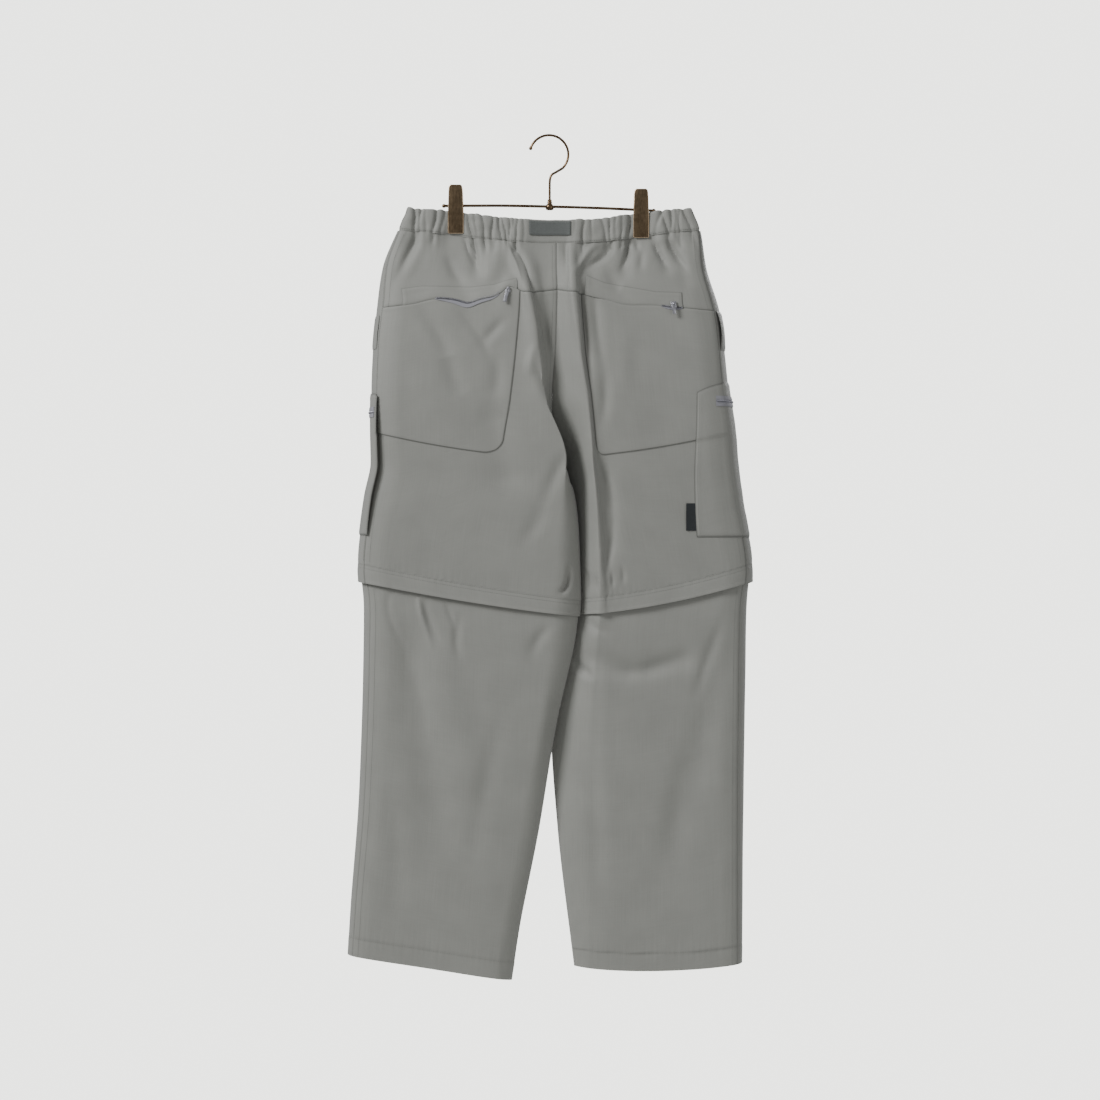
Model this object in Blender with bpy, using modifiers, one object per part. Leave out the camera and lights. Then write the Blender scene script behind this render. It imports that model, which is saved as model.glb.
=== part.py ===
"""Convertible zip-off trousers, seen from the back, hung by the waistband from a clip hanger.

The frame is +Z up and -Y towards the trousers' back. The origin is the top of the hook's inside,
where a rail or a peg carries the hanger. The tables are in millimetres and are turned to metres
as they are read.
"""

import math

import bmesh
import bpy
import numpy as np
from mathutils import Matrix, Vector

MM = 0.001

# Cloth and the gaps between its layers
CLOTH = 1.2 * MM
BAND_CLOTH = 2.4 * MM
PATCH_CLOTH = 1.0 * MM
TAPE = 0.7 * MM
SEAM_TRIM = 0.2 * MM
SAME_POINT = 0.0137 * MM
WELD = 0.001 * MM
LAY_GAP = 0.35 * MM
CROTCH_TRIM, CROTCH_TRIM_REACH = 3.4 * MM, 0.34

# Waistband gathers, and the webbing sewn across its middle
GATHER_PITCH = 12.0
GATHER_DEPTH = 1.3 * MM
GATHER_DRIFT, GATHER_DRIFT_PITCH = 0.55, 31.0
BAND_STEPS = 3
BAND_BACK_STEPS, BAND_FRONT_STEPS = 60, 18
BAND_SAMPLES = 241
WEBBING_CENTRE, WEBBING_HALF, WEBBING_CALM = 1.3, 27.7, 38.0
WEBBING_TOP, WEBBING_BOTTOM = 0.2, 2.0

# Clip hanger
WIRE_RADIUS, TIP_RADIUS = 1.7, 2.5
HOOK_RADIUS, HOOK_CENTRE = 25.7, -24.0
HOOK_START, HOOK_END = math.radians(167), math.radians(-48)
HOOK_ARC_STEP = 6.5
STEM_POINTS = ((9.5, -47.4), (4.0, -50.8), (1.6, -55.6), (0.9, -64.0), (0.9, -77.0), (0.9, -90.1))
BEAD_STEPS = (0.08, 0.35, 0.75, 1.15, 1.55, 1.85)
BAR_RADIUS, BAR_END_RADIUS = 1.9, 2.7
BAR_X = (-142.5, -70.0, 0.9, 70.0, 142.0)
BAR_Z = (-92.4, -92.0, -93.3, -95.4, -98.8)
BAR_STEP = 12.0
FERRULE_PROFILE = ((2.9, -84.0), (3.4, -88.0), (5.7, -93.0), (5.7, -95.2), (4.6, -98.2), (0.0, -98.2))
FERRULE_STEPS = 16
SOCKET_RADIUS, SOCKET_END = 2.05, -90.5
CLIP_X = {"left": -124.0, "right": 122.4}
CLIP_SHEET = 1.2
CLIP_PROFILE = (
    (27.2, 9.30, 6.2), (26.2, 9.19, 8.0), (24.0, 8.93, 9.0), (18.0, 8.22, 9.5), (8.0, 7.05, 9.9),
    (-3.0, 5.85, 10.2), (-12.0, 5.35, 10.4), (-13.6, 4.90, 10.4), (-26.0, 4.90, 10.4),
    (-34.0, 4.90, 10.4), (-35.0, 4.90, 9.6),
)
CLIP_ACROSS = (-1.0, -0.8, 0.8, 1.0)
SPRING_INNER, SPRING_OUTER, SPRING_HALF = 2.4, 3.8, 5.0
PINCH_DEPTH, PINCH_WIDTH, PINCH_REACH = 2.3, 21.0, 0.7
PINCH_CALM = 14.0

# Levels of the section tables, from the waistband's top edge to the hem
TOP, WAIST, HIP, YOKE, SEAT, LOW_SEAT, CROTCH, FORK, THIGH, KNEE, SHIN, CALF, LOW, ANKLE, HEM = range(15)

# One row for each level: how far the level lies under the hook at the side and at the centre, how
# far it sags between, then where the lengthwise lines of the leg cross it. x is to the right of
# the hook and y is towards the front. pocket is the back pocket's inner edge, ridge and valley are
# the fold beside the centre-back seam, and centre is that seam or, under the crotch, the inseam.
COLUMNS = (
    "z_side z_centre sag x_side x_pocket x_ridge x_valley x_centre"
    " y_flat y_ridge y_valley y_centre y_front y_front_inner y_front_centre"
).split()
LEFT_ROWS = {
    TOP: (-95.5, -112, 1, -188, -60, -44, -18, 10, -7, -9, -8, -7, 7, 7, 7),
    WAIST: (-126, -143, 2, -201, -58, -43, -16, 10, -9, -12, -9, -9, 9, 9, 9),
    HIP: (-175, -175, 2, -221, -44, -29, -9, 10, -20, -25, -16, -15, 15, 15, 15),
    YOKE: (-231, -206, 1, -229, -38, -23, -6, 11, -31, -37, -24, -23, 21, 21, 21),
    SEAT: (-284, -277, 0, -234, -43, -15, -2, 9, -37, -43, -26, -24, 25, 25, 24),
    LOW_SEAT: (-344, -350, 2, -236, -51, -4, -1, 4, -40, -46, -28, -18, 27, 26, 19),
    CROTCH: (-394, -430, 6, -235, -62, 23, 20, 7, -39, -44, -18, 3, 27, 20, 3),
    FORK: (-433, -470, 5, -234, -64, 19, 29, 32, -37, -41, -27, -13, 25, 1, -13),
    THIGH: (-483, -523, 5, -244, -65, 14, 33, 39, -36, -39, -28, -14, 24, -1, -14),
    KNEE: (-566, -616, 4, -254, -67, 8, 32, 42, -32, -34, -26, -14, 22, -2, -14),
    SHIN: (-632, -670, 3, -246, -70, 2, 25, 34, -29, -30, -23, -13, 21, -2, -13),
    CALF: (-749, -783, 0, -248, -76, -14, 3, 9, -28, -28, -20, -11, 21, 0, -11),
    LOW: (-882, -922, 0, -253, -88, -38, -20, -14, -26, -24, -17, -8, 20, 3, -8),
    ANKLE: (-1015, -1049, 0, -263, -104, -62, -46, -39, -23, -20, -13, -5, 19, 6, -5),
    HEM: (-1087, -1121, 0, -267, -112, -72, -57, -50, -20, -17, -10, -2, 18, 8, -2),
}
RIGHT_ROWS = {
    TOP: (-96.5, -112, 1, 189, 62, 36, 24, 10, -7, -9, -8, -7, 7, 7, 7),
    WAIST: (-126, -143, 2, 201, 54, 33, 22, 10, -9, -12, -9, -9, 9, 9, 9),
    HIP: (-175, -175, 2, 209, 46, 32, 22, 10, -20, -26, -19, -15, 15, 15, 15),
    YOKE: (-235, -206, 4, 227, 43, 34, 23, 11, -31, -38, -31, -23, 21, 21, 21),
    SEAT: (-284, -277, 2, 233, 47, 40, 23, 9, -37, -44, -33, -24, 25, 25, 24),
    LOW_SEAT: (-344, -350, 2, 239, 56, 50, 23, 4, -40, -46, -29, -18, 27, 26, 19),
    CROTCH: (-394, -430, 6, 245, 63, 57, 29, 7, -39, -46, -9, 3, 28, 24, 3),
    FORK: (-433, -470, 6, 248, 67, 61, 36, 5, -38, -45, -4, 12, 29, 27, 12),
    THIGH: (-483, -523, 7, 255, 75, 65, 38, 5, -36, -42, -3, 14, 29, 27, 14),
    KNEE: (-566, -616, 9, 270, 80, 68, 40, 6, -32, -35, -5, 13, 26, 24, 13),
    SHIN: (-632, -670, 8, 262, 81, 65, 38, 6, -29, -29, -6, 12, 24, 22, 12),
    CALF: (-749, -783, 5, 260, 81, 57, 28, 3, -28, -24, -8, 9, 23, 20, 9),
    LOW: (-882, -922, 3, 258, 84, 55, 25, 12, -26, -23, -12, 3, 21, 18, 3),
    ANKLE: (-1015, -1049, 4, 257, 88, 55, 37, 27, -23, -20, -12, -1, 19, 15, -1),
    HEM: (-1098, -1102, 7, 256, 92, 57, 41, 34, -20, -17, -10, -2, 18, 12, -2),
}
TABLES = {"left": LEFT_ROWS, "right": RIGHT_ROWS}
CENTRE_COLUMNS = ("z_centre", "x_centre", "y_centre", "y_front_centre")

# Places along a section: 0 at the side seam, 1 at the centre back, -1 at the centre front
BACK_KNOTS = (0.0, 0.10, 0.58, 0.78, 0.90, 1.0)
FRONT_KNOTS = (-1.0, -0.88, -0.55, -0.16, -0.06, 0.0)
SIDE_DEPTH, SIDE_TURN, FULL_DEPTH = 10.0, 30.0, 30.0
SEAM_SHARE, TURN_SHARE = 0.70, 0.95
INNER_SHARE, MIDDLE_SHARE, FRONT_TURN, FRONT_TURN_DEPTH = 0.09, 0.45, 0.6, 0.9
PAST_SIDE, PAST_SIDE_FRONT, PAST_CENTRE = 0.06, 0.10, 1.12
FRONT_COLUMNS = (-1.0, -0.94, -0.88, -0.72, -0.55, -0.40, -0.26, -0.16, -0.08, -0.03)
BACK_COLUMNS = (
    0.0, 0.05, 0.10, 0.17, 0.25, 0.34, 0.42, 0.50, 0.58, 0.65, 0.72, 0.78, 0.84, 0.90, 0.95, 1.0,
)
LOOP = FRONT_COLUMNS + BACK_COLUMNS
SIDE, POCKET_EDGE, RIDGE, LAST = (LOOP.index(place) for place in (0.0, 0.58, 0.78, 1.0))
FRONT, BACK = slice(0, SIDE + 1), slice(SIDE, LAST + 1)
STEPS_FROM = {
    WAIST: 2, HIP: 2, YOKE: 3, SEAT: 3, LOW_SEAT: 4, CROTCH: 4, FORK: 2, THIGH: 3,
    SHIN: 3, CALF: 3, LOW: 3,
}

# Main folds: x and z of both ends, half-width, and how far the cloth sinks (+) or stands out (-)
FOLD_COLUMNS = "face x0 z0 x1 z1 width sink".split()
FOLDS = (
    ("back", -173, -135, -203, -205, 11, 4.0),
    ("back", -190, -150, -207, -230, 12, -2.5),
    ("back", -104, -135, -94, -190, 9, 3.5),
    ("back", -122, -150, -118, -215, 16, 2.5),
    ("back", -62, -140, -80, -195, 12, -3.0),
    ("back", 78, -140, 45, -188, 10, 4.5),
    ("back", 66, -150, 36, -205, 9, -3.5),
    ("back", 108, -138, 98, -190, 9, 3.0),
    ("back", 140, -140, 160, -185, 9, 3.5),
    ("back", 160, -140, 188, -205, 10, 3.5),
    ("back", 72, -430, 78, -560, 13, 4.5),
    ("back", -78, -360, -48, -470, 22, 3.5),
    ("back", -195, -650, -140, -930, 24, 4.5),
    ("back", -150, -660, -95, -880, 22, -3.0),
    ("back", 45, -690, 118, -712, 15, 4.5),
    ("back", 118, -712, 190, -690, 15, 4.0),
    ("back", 245, -670, 150, -980, 24, 4.0),
    ("front", -150, -160, -120, -330, 20, 4.0),
    ("front", 140, -160, 110, -340, 20, 4.0),
    ("front", -60, -380, -160, -560, 20, 4.0),
    ("front", 90, -380, 170, -560, 20, 4.0),
    ("front", -200, -680, -130, -960, 24, 4.0),
    ("front", 200, -680, 140, -980, 24, 4.0),
)
FOLD_CORE, FOLD_FADE = 0.3, 0.2
FOLD_EDGE_SLOPE, FOLD_START = 6, 0.4

# The knee: a zip hangs inside the flap, and the lower leg starts under it
FLAP_LEVELS = (KNEE, KNEE + 0.2, KNEE + 0.4)
FLAP_FLARE = (0.0, 1.4 * MM, 2.8 * MM)
ZIP_LEVELS = (KNEE + 0.04, KNEE + 0.14, KNEE + 0.24)
ZIP_INSET = -1.6 * MM
TUCK_LEVELS = (KNEE + 0.26, KNEE + 0.45, KNEE + 0.70)
TUCK = -2.4 * MM
CALM_FROM, CALM_TO = 0.70, 0.95
HEM_TOP = HEM - 0.33
HEM_CLOTH = 2.0 * MM
HEM_STEP = 0.03

# Pockets, plackets, zip tapes and tabs: places on the back by x and z
CORNER_CUT = 0.5
POCKET_TOP_GAP, POCKET_SIDE_GAP = 0.03, 0.05
NEAR_COLUMN, NEAR_ROW = 0.15, 0.2
SPOT_ROUNDS = 12
PLACKET_HEIGHT, PLACKET_ABOVE_SEAM, PLACKET_LIFT = 16.0, 1.0, 0.3 * MM
PLACKET_X = {"left": (-194.0, -42.0), "right": (177.0, 47.0)}
BACK_TAPE_X = {"left": (-150.0, -60.0), "right": (176.0, 148.0)}
BACK_TAPE_DEPTH = {"left": 7.0, "right": 3.5}
BACK_TAPE_TOP, BACK_TAPE_EDGE = 0.2, 1.6
WELT_Z = {"left": (-240.0, -322.0), "right": (-236.0, -312.0)}
WELT_COLUMNS = (-1.9, -1.0, -0.25)
WELT_PUFF = {"left": 0.8 * MM, "right": 2.4 * MM}
WELT_SWELL = (0.0, 0.6, 1.0)
CARGO = {
    "left": dict(top=-342.0, drop=4.0, bottom=-530.0, back=0.3, front=-4.0, fold=4.8 * MM, puff=1.5 * MM),
    "right": dict(top=-328.0, drop=14.5, bottom=-533.0, back=4.0, front=-4.0, fold=0.0, puff=3.0 * MM),
}
CARGO_TOP_CURVE, CARGO_PUFF_CURVE = 1.6, 0.6
CARGO_FOLD_CURVE, CARGO_FOLD_START, CARGO_FOLD_SPAN = 0.5, 0.06, 0.88
CARGO_BACK_X, CARGO_LAST_COLUMN = 194.6, 0.25
OVER_POCKET_ROWS, OVER_POCKET_COLUMNS = 0.6, 0.1
CARGO_ZIP_DROP, CARGO_ZIP_HEIGHT = 20.0, 12.0
CARGO_ZIP_ENDS = {"left": (0.6, 0.05), "right": (0.6, 1.9)}
LABEL_X, LABEL_Z = (181.0, 193.9), (-488.5, -524.5)

# Zip sliders and their pulls: pin place on the back, tilt in the cloth, and the pull's length
SLIDERS = {
    "left": dict(x=-53.5, z=-206.0, tilt=math.radians(14), length=19.5),
    "right": dict(x=164.0, z=-226.5, tilt=math.radians(-3), length=14.0),
}
SLIDER_HALF_WIDTH, SLIDER_UP, SLIDER_DOWN = 3.6, 3.5, -5.0
SLIDER_OUT, SLIDER_IN = -1.9, -3.4
SLIDER_LIFT = 5.85 * MM
LUG_HALF_WIDTH, LUG_HALF_HEIGHT, LUG_OUT = 0.8, 1.5, 1.3
EYE_RADIUS, PIN_RADIUS, PIN_SIDES = 0.8, 0.5, 16
PRONG_IN, PULL_HALF_WIDTH, PRONG_TOP, PULL_SHOULDER = 1.1, 2.2, 0.9, -2.7
PULL_HALF_THICKNESS = 0.6
JOIN = 0.3

# Colours
GREY = (0.235, 0.238, 0.222, 1.0)
DARK_GREY = (0.115, 0.122, 0.116, 1.0)
LAVENDER = (0.33, 0.33, 0.37, 1.0)
CHARCOAL = (0.020, 0.023, 0.026, 1.0)
BRASS = (0.23, 0.14, 0.07, 1.0)
DARK_BRASS = (0.16, 0.105, 0.06, 1.0)


def collection(name):
    made = bpy.data.collections.new(name)
    bpy.context.scene.collection.children.link(made)
    return made


def material(name, colour, roughness, metallic=0.0):
    made = bpy.data.materials.new(name)
    made.use_nodes = True
    shader = made.node_tree.nodes["Principled BSDF"]
    shader.inputs["Base Color"].default_value = colour
    shader.inputs["Roughness"].default_value = roughness
    shader.inputs["Metallic"].default_value = metallic
    return made


# The cloth's middle surface

def smooth_curve(knots, values, at):
    """A curve through the values that never swings past them."""
    knots, values = np.asarray(knots, float), np.asarray(values, float)
    steps = np.diff(knots)
    slopes = np.diff(values, axis=0) / steps.reshape((-1,) + (1,) * (values.ndim - 1))
    turns = np.zeros_like(values)
    before, after = slopes[:-1], slopes[1:]
    same_way = before * after > 0
    total = np.where(same_way, before + after, 1.0)
    turns[1:-1] = np.where(same_way, 2 * before * after / total, 0.0)
    turns[0], turns[-1] = slopes[0], slopes[-1]
    i = int(np.clip(np.searchsorted(knots, at, side="right") - 1, 0, len(steps) - 1))
    t = (at - knots[i]) / steps[i]
    return (
        (2 * t**3 - 3 * t**2 + 1) * values[i]
        + (t**3 - 2 * t**2 + t) * steps[i] * turns[i]
        + (3 * t**2 - 2 * t**3) * values[i + 1]
        + (t**3 - t**2) * steps[i] * turns[i + 1]
    )


def ease(start, end, value):
    """0 before start, 1 past end, and smooth between."""
    t = min(1.0, max(0.0, (value - start) / (end - start)))
    return t * t * (3 - 2 * t)


def level_values(side, level):
    """The table's row at a level, which may lie between two rows."""
    rows = TABLES[side]
    values = dict(zip(COLUMNS, smooth_curve(sorted(rows), [rows[k] for k in sorted(rows)], level)))
    if level <= CROTCH:
        shared_rows = [LEFT_ROWS[k] for k in range(CROTCH + 1)]
        shared = dict(zip(COLUMNS, smooth_curve(range(CROTCH + 1), shared_rows, level)))
        values.update({name: shared[name] for name in CENTRE_COLUMNS})
    if level >= CROTCH:
        values["y_front_centre"] = values["y_centre"]
    return values


def section_lines(side, level):
    """The points, in millimetres, where the lengthwise lines cross a level: back, then front."""
    row = level_values(side, level)
    inward = 1 if side == "left" else -1
    slim = min(1.0, abs(row["y_flat"]) / FULL_DEPTH)
    near, turn = SIDE_DEPTH * slim, SIDE_TURN * slim
    x_side, x_centre = row["x_side"], row["x_centre"]
    width = x_side - x_centre
    back = [
        (x_side + inward * near, row["y_flat"] * SEAM_SHARE),
        (x_side + inward * (near + turn), row["y_flat"] * TURN_SHARE),
        (row["x_pocket"], row["y_flat"]),
        (row["x_ridge"], row["y_ridge"]),
        (row["x_valley"], row["y_valley"]),
        (x_centre, row["y_centre"]),
    ]
    front = [
        (x_centre, row["y_front_centre"]),
        (x_centre + INNER_SHARE * width, row["y_front_inner"]),
        (x_centre + MIDDLE_SHARE * width, row["y_front"]),
        (x_side + inward * (near + turn) * FRONT_TURN, row["y_front"] * FRONT_TURN_DEPTH),
        (x_side, 0.0),
        back[0],
    ]
    return row, back, front


def neighbours(side, level, back, front):
    """What the back and the front of a section run on into past the centre seams."""
    if level < CROTCH:
        _, other_back, other_front = section_lines("right" if side == "left" else "left", level)
        return other_back[-2], other_front[1]
    return front[1], back[-2]


def fold_sink(face, x, z):
    """How far the main folds sink the cloth at a point, in millimetres."""
    sink = 0.0
    for row in FOLDS:
        fold = dict(zip(FOLD_COLUMNS, row))
        if fold["face"] != face:
            continue
        run = np.array((fold["x1"] - fold["x0"], fold["z1"] - fold["z0"]))
        to_point = np.array((x - fold["x0"], z - fold["z0"]))
        along = float(to_point @ run / (run @ run))
        away = float(np.linalg.norm(to_point - run * along))
        taper = math.exp(-((max(0.0, abs(along - 0.5) - FOLD_CORE) / FOLD_FADE) ** 2))
        sink += fold["sink"] * taper * math.exp(-((away / fold["width"]) ** 2))
    return sink


def cloth_point(side, place, level):
    """A point of the cloth's middle surface: place runs round the leg, level runs down it."""
    row, back, front = section_lines(side, level)
    past_back, past_front = neighbours(side, level, back, front)
    if place >= 0:
        knots = (-PAST_SIDE, *BACK_KNOTS, PAST_CENTRE)
        x, y = smooth_curve(knots, [front[-2], *back, past_back], place)
    else:
        knots = (-PAST_CENTRE, *FRONT_KNOTS, PAST_SIDE_FRONT)
        x, y = smooth_curve(knots, [past_front, *front, back[1]], place)
    share = (x - row["x_side"]) / (row["x_centre"] - row["x_side"])
    share = min(1.0, max(0.0, share)) if abs(place) < 1 else 1.0
    bend = min(1.0, max(0.0, HIP - level))
    z = row["z_side"] + (row["z_centre"] - row["z_side"]) * (share + bend * (ease(0, 1, share) - share))
    z -= 4 * row["sag"] * share * (1 - share)
    if level > WAIST:
        face = "back" if place >= 0 else "front"
        edge = min(1.0, FOLD_EDGE_SLOPE * min(abs(place), 1 - abs(place)))
        edge *= ease(WAIST, WAIST + FOLD_START, level)
        y += fold_sink(face, x, z) * edge * (1 if face == "back" else -1)
    reach = 1 - ease(WAIST, WAIST + PINCH_REACH, level)
    for clip in CLIP_X.values():
        pinch = reach * math.exp(-(((x - clip) / PINCH_WIDTH) ** 4))
        y = math.copysign(PINCH_DEPTH + (abs(y) - PINCH_DEPTH) * (1 - pinch), y)
    return Vector((x, y, z)) * MM


def grid_of(side, places, levels):
    return np.array([[cloth_point(side, place, level) for place in places] for level in levels])


def levels_between(first, last):
    """Levels from one row of the tables to another, in the steps of STEPS_FROM."""
    made = []
    for level in range(first, last):
        made += [level + k / STEPS_FROM[level] for k in range(STEPS_FROM[level])]
    return made + [float(last)]


# Grids of points, and the walls made from them

def shared_normals(grids, facing):
    """Outward normals of grids that meet at seams, the same on both sides of a seam."""
    sums, keys = {}, {}
    for name, grid in grids.items():
        normal = np.cross(grid[1:, 1:] - grid[:-1, :-1], grid[1:, :-1] - grid[:-1, 1:]) * facing[name]
        total = np.zeros_like(grid)
        for rows in (slice(None, -1), slice(1, None)):
            for columns in (slice(None, -1), slice(1, None)):
                total[rows, columns] += normal
        keys[name] = np.round(grid / SAME_POINT).astype(int).reshape(-1, 3)
        for key, value in zip(keys[name], total.reshape(-1, 3)):
            sums[tuple(key)] = sums.get(tuple(key), 0) + value
    made = {}
    for name, grid in grids.items():
        normals = np.array([sums[tuple(key)] for key in keys[name]])
        normals /= np.linalg.norm(normals, axis=1, keepdims=True)
        made[name] = normals.reshape(grid.shape)
    return made


def sample(grid, rows, columns):
    """Points of a grid at rows and columns that may lie within its cells."""
    rows, columns = np.broadcast_arrays(np.asarray(rows, float), np.asarray(columns, float))
    r = np.clip(np.floor(rows).astype(int), 0, grid.shape[0] - 2)
    c = np.clip(np.floor(columns).astype(int), 0, grid.shape[1] - 2)
    a, b = (rows - r)[..., None], (columns - c)[..., None]
    upper = grid[r, c] * (1 - b) + grid[r, c + 1] * b
    lower = grid[r + 1, c] * (1 - b) + grid[r + 1, c + 1] * b
    return upper * (1 - a) + lower * a


class Surface:
    """A grid of points with outward normals, on which other pieces are laid."""

    def __init__(self, grid, normals, turn=1):
        self.grid, self.normals, self.turn = grid, normals, turn

    def moved(self, lift):
        return Surface(self.grid + self.normals * lift, self.normals, self.turn)

    def row_at(self, column, z):
        """The row, in parts of a step, where a column reaches a height in millimetres."""
        rows = np.arange(len(self.grid))
        return float(np.interp(-z, -sample(self.grid, rows, column)[:, 2] / MM, rows))

    def column_at(self, row, x):
        """The column of the back, in parts of a step, where a row reaches an x in millimetres."""
        columns = np.arange(SIDE, RIDGE + 1)
        reach = sample(self.grid, row, columns)[:, 0] / MM
        return float(np.interp(self.turn * x, self.turn * reach, columns))

    def spot(self, x, z):
        """The row and column of a place on the back that is known by x and z."""
        row, column = 0.0, float(POCKET_EDGE)
        for _ in range(SPOT_ROUNDS):
            column = self.column_at(row, x)
            row = self.row_at(column, z)
        return row, column


def trimmed(grid, side_trim=SEAM_TRIM):
    """The grid with its edges drawn back a little, so that pieces stay apart at seams."""
    made = grid.copy()
    for edge, inner in ((0, 1), (-1, -2)):
        step = grid[:, inner] - grid[:, edge]
        made[:, edge] += step * (side_trim / np.linalg.norm(step, axis=-1, keepdims=True))
    for edge, inner in ((0, 1), (-1, -2)):
        step = made[inner] - made[edge]
        made[edge] += step * (SEAM_TRIM / np.linalg.norm(step, axis=-1, keepdims=True))
    return made


def wall(name, outer, inner, finish, into):
    """A closed sheet between an outer and an inner grid of points."""
    rows, columns = outer.shape[:2]
    mesh = bmesh.new()
    out = [[mesh.verts.new(point) for point in row] for row in outer]
    inn = [[mesh.verts.new(point) for point in row] for row in inner]
    for r in range(rows - 1):
        for c in range(columns - 1):
            mesh.faces.new((out[r][c], out[r + 1][c], out[r + 1][c + 1], out[r][c + 1]))
            mesh.faces.new((inn[r][c], inn[r][c + 1], inn[r + 1][c + 1], inn[r + 1][c]))
    for r in range(rows - 1):
        mesh.faces.new((out[r][0], inn[r][0], inn[r + 1][0], out[r + 1][0]))
        mesh.faces.new((out[r][-1], out[r + 1][-1], inn[r + 1][-1], inn[r][-1]))
    for c in range(columns - 1):
        mesh.faces.new((out[0][c], out[0][c + 1], inn[0][c + 1], inn[0][c]))
        mesh.faces.new((out[-1][c], inn[-1][c], inn[-1][c + 1], out[-1][c + 1]))
    data = bpy.data.meshes.new(name)
    mesh.to_mesh(data)
    mesh.free()
    return piece(name, data, finish, into)


def piece(name, data, finish, into):
    """A named piece from mesh data: faces outward, smooth with crisp edges, and its material."""
    mesh = bmesh.new()
    mesh.from_mesh(data)
    bmesh.ops.recalc_face_normals(mesh, faces=mesh.faces)
    mesh.to_mesh(data)
    mesh.free()
    data.shade_smooth()
    data.set_sharp_from_angle(angle=math.radians(40))
    data.materials.clear()
    data.materials.append(finish)
    obj = bpy.data.objects.new(name, data)
    into.objects.link(obj)
    return obj


def panel(name, surface, rows, columns, finish, into, thickness=CLOTH, shift=0.0, side_trim=SEAM_TRIM):
    """A cut panel: part of the cloth's middle surface with the cloth's thickness."""
    normals = surface.normals[rows, columns]
    outer = trimmed(surface.grid[rows, columns], side_trim) + normals * (shift + CLOTH / 2)
    return wall(name, outer, outer - normals * thickness, finish, into)


def lay(name, surface, rows, columns, thickness, finish, into, lift=0.0):
    """A piece laid on a surface, from its own points moved out; gives its outer surface."""
    points, normals = sample(surface.grid, rows, columns), sample(surface.normals, rows, columns)
    normals /= np.linalg.norm(normals, axis=-1, keepdims=True)
    inner = points + normals * (LAY_GAP + np.asarray(lift))
    outer = inner + normals * thickness
    wall(name, outer, inner, finish, into)
    return Surface(outer, normals, surface.turn)


def run(first, last):
    """A span of columns: its two ends and each whole column well inside them."""
    low, high = min(first, last), max(first, last)
    return [low, *range(math.ceil(low + NEAR_COLUMN), math.floor(high - NEAR_COLUMN) + 1), high]


def field(surface, columns, top, bottom):
    """Rows of a patch over some columns: whole rows inside, top and bottom where z says."""
    tops = [surface.row_at(column, top(column)) for column in columns]
    bottoms = [surface.row_at(column, bottom(column)) for column in columns]
    whole = range(math.ceil(max(tops) + NEAR_ROW), math.floor(min(bottoms) - NEAR_ROW) + 1)
    inside = [[row] * len(columns) for row in whole]
    inside = inside or [[(a + b) / 2 for a, b in zip(tops, bottoms)]]
    rows = np.array([tops, *inside, bottoms], float)
    return rows, np.tile(np.array(columns, float), (len(rows), 1))


# Trousers

def clothes():
    """The middle surfaces of both legs: upper leg and seat, knee flap, zip and lower leg."""
    spans = {
        "upper": levels_between(WAIST, KNEE),
        "flap": FLAP_LEVELS,
        "zip": ZIP_LEVELS,
        "lower": [*TUCK_LEVELS, *levels_between(SHIN, ANKLE), HEM_TOP - HEM_STEP, HEM_TOP, float(HEM)],
    }
    made = {}
    for span, levels in spans.items():
        grids = {side: grid_of(side, LOOP, levels) for side in TABLES}
        normals = shared_normals(grids, {"left": -1, "right": 1})
        for side, turn in (("left", 1), ("right", -1)):
            made[span, side] = Surface(grids[side], normals[side], turn)
    made["levels"] = {span: list(levels) for span, levels in spans.items()}
    return made


def even_places(side, start, end, count):
    """Places spaced evenly in x along the waistband's middle."""
    fine = np.linspace(start, end, BAND_SAMPLES)
    reach = np.array([cloth_point(side, place, (TOP + WAIST) / 2)[0] for place in fine])
    turn = 1 if reach[-1] > reach[0] else -1
    return np.interp(np.linspace(turn * reach[0], turn * reach[-1], count + 1), turn * reach, fine)


def waistband_surfaces():
    levels = np.linspace(TOP, WAIST, BAND_STEPS + 1)
    grids = {}
    for face, start, end, count in (("back", 0, 1, BAND_BACK_STEPS), ("front", 0, -1, BAND_FRONT_STEPS)):
        left = grid_of("left", even_places("left", start, end, count), levels)
        right = grid_of("right", even_places("right", end, start, count), levels)
        grids[face] = np.concatenate((left, right[:, 1:]), axis=1)
    normals = shared_normals(grids, {"back": -1, "front": 1})
    return {face: Surface(grids[face], normals[face]) for face in grids}


def gathers(grid):
    """How far the elastic's gathers raise the back of the waistband, flat at clips and webbing."""
    x = grid[..., 0] / MM
    wave = x / GATHER_PITCH + GATHER_DRIFT * np.sin(x / GATHER_DRIFT_PITCH)
    raised = (0.5 - 0.5 * np.cos(2 * math.pi * wave)) * GATHER_DEPTH
    for clip in CLIP_X.values():
        raised = raised * (1 - np.exp(-(((x - clip) / PINCH_CALM) ** 4)))
    return (raised * (1 - np.exp(-(((x - WEBBING_CENTRE) / WEBBING_CALM) ** 6))))[..., None]


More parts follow.
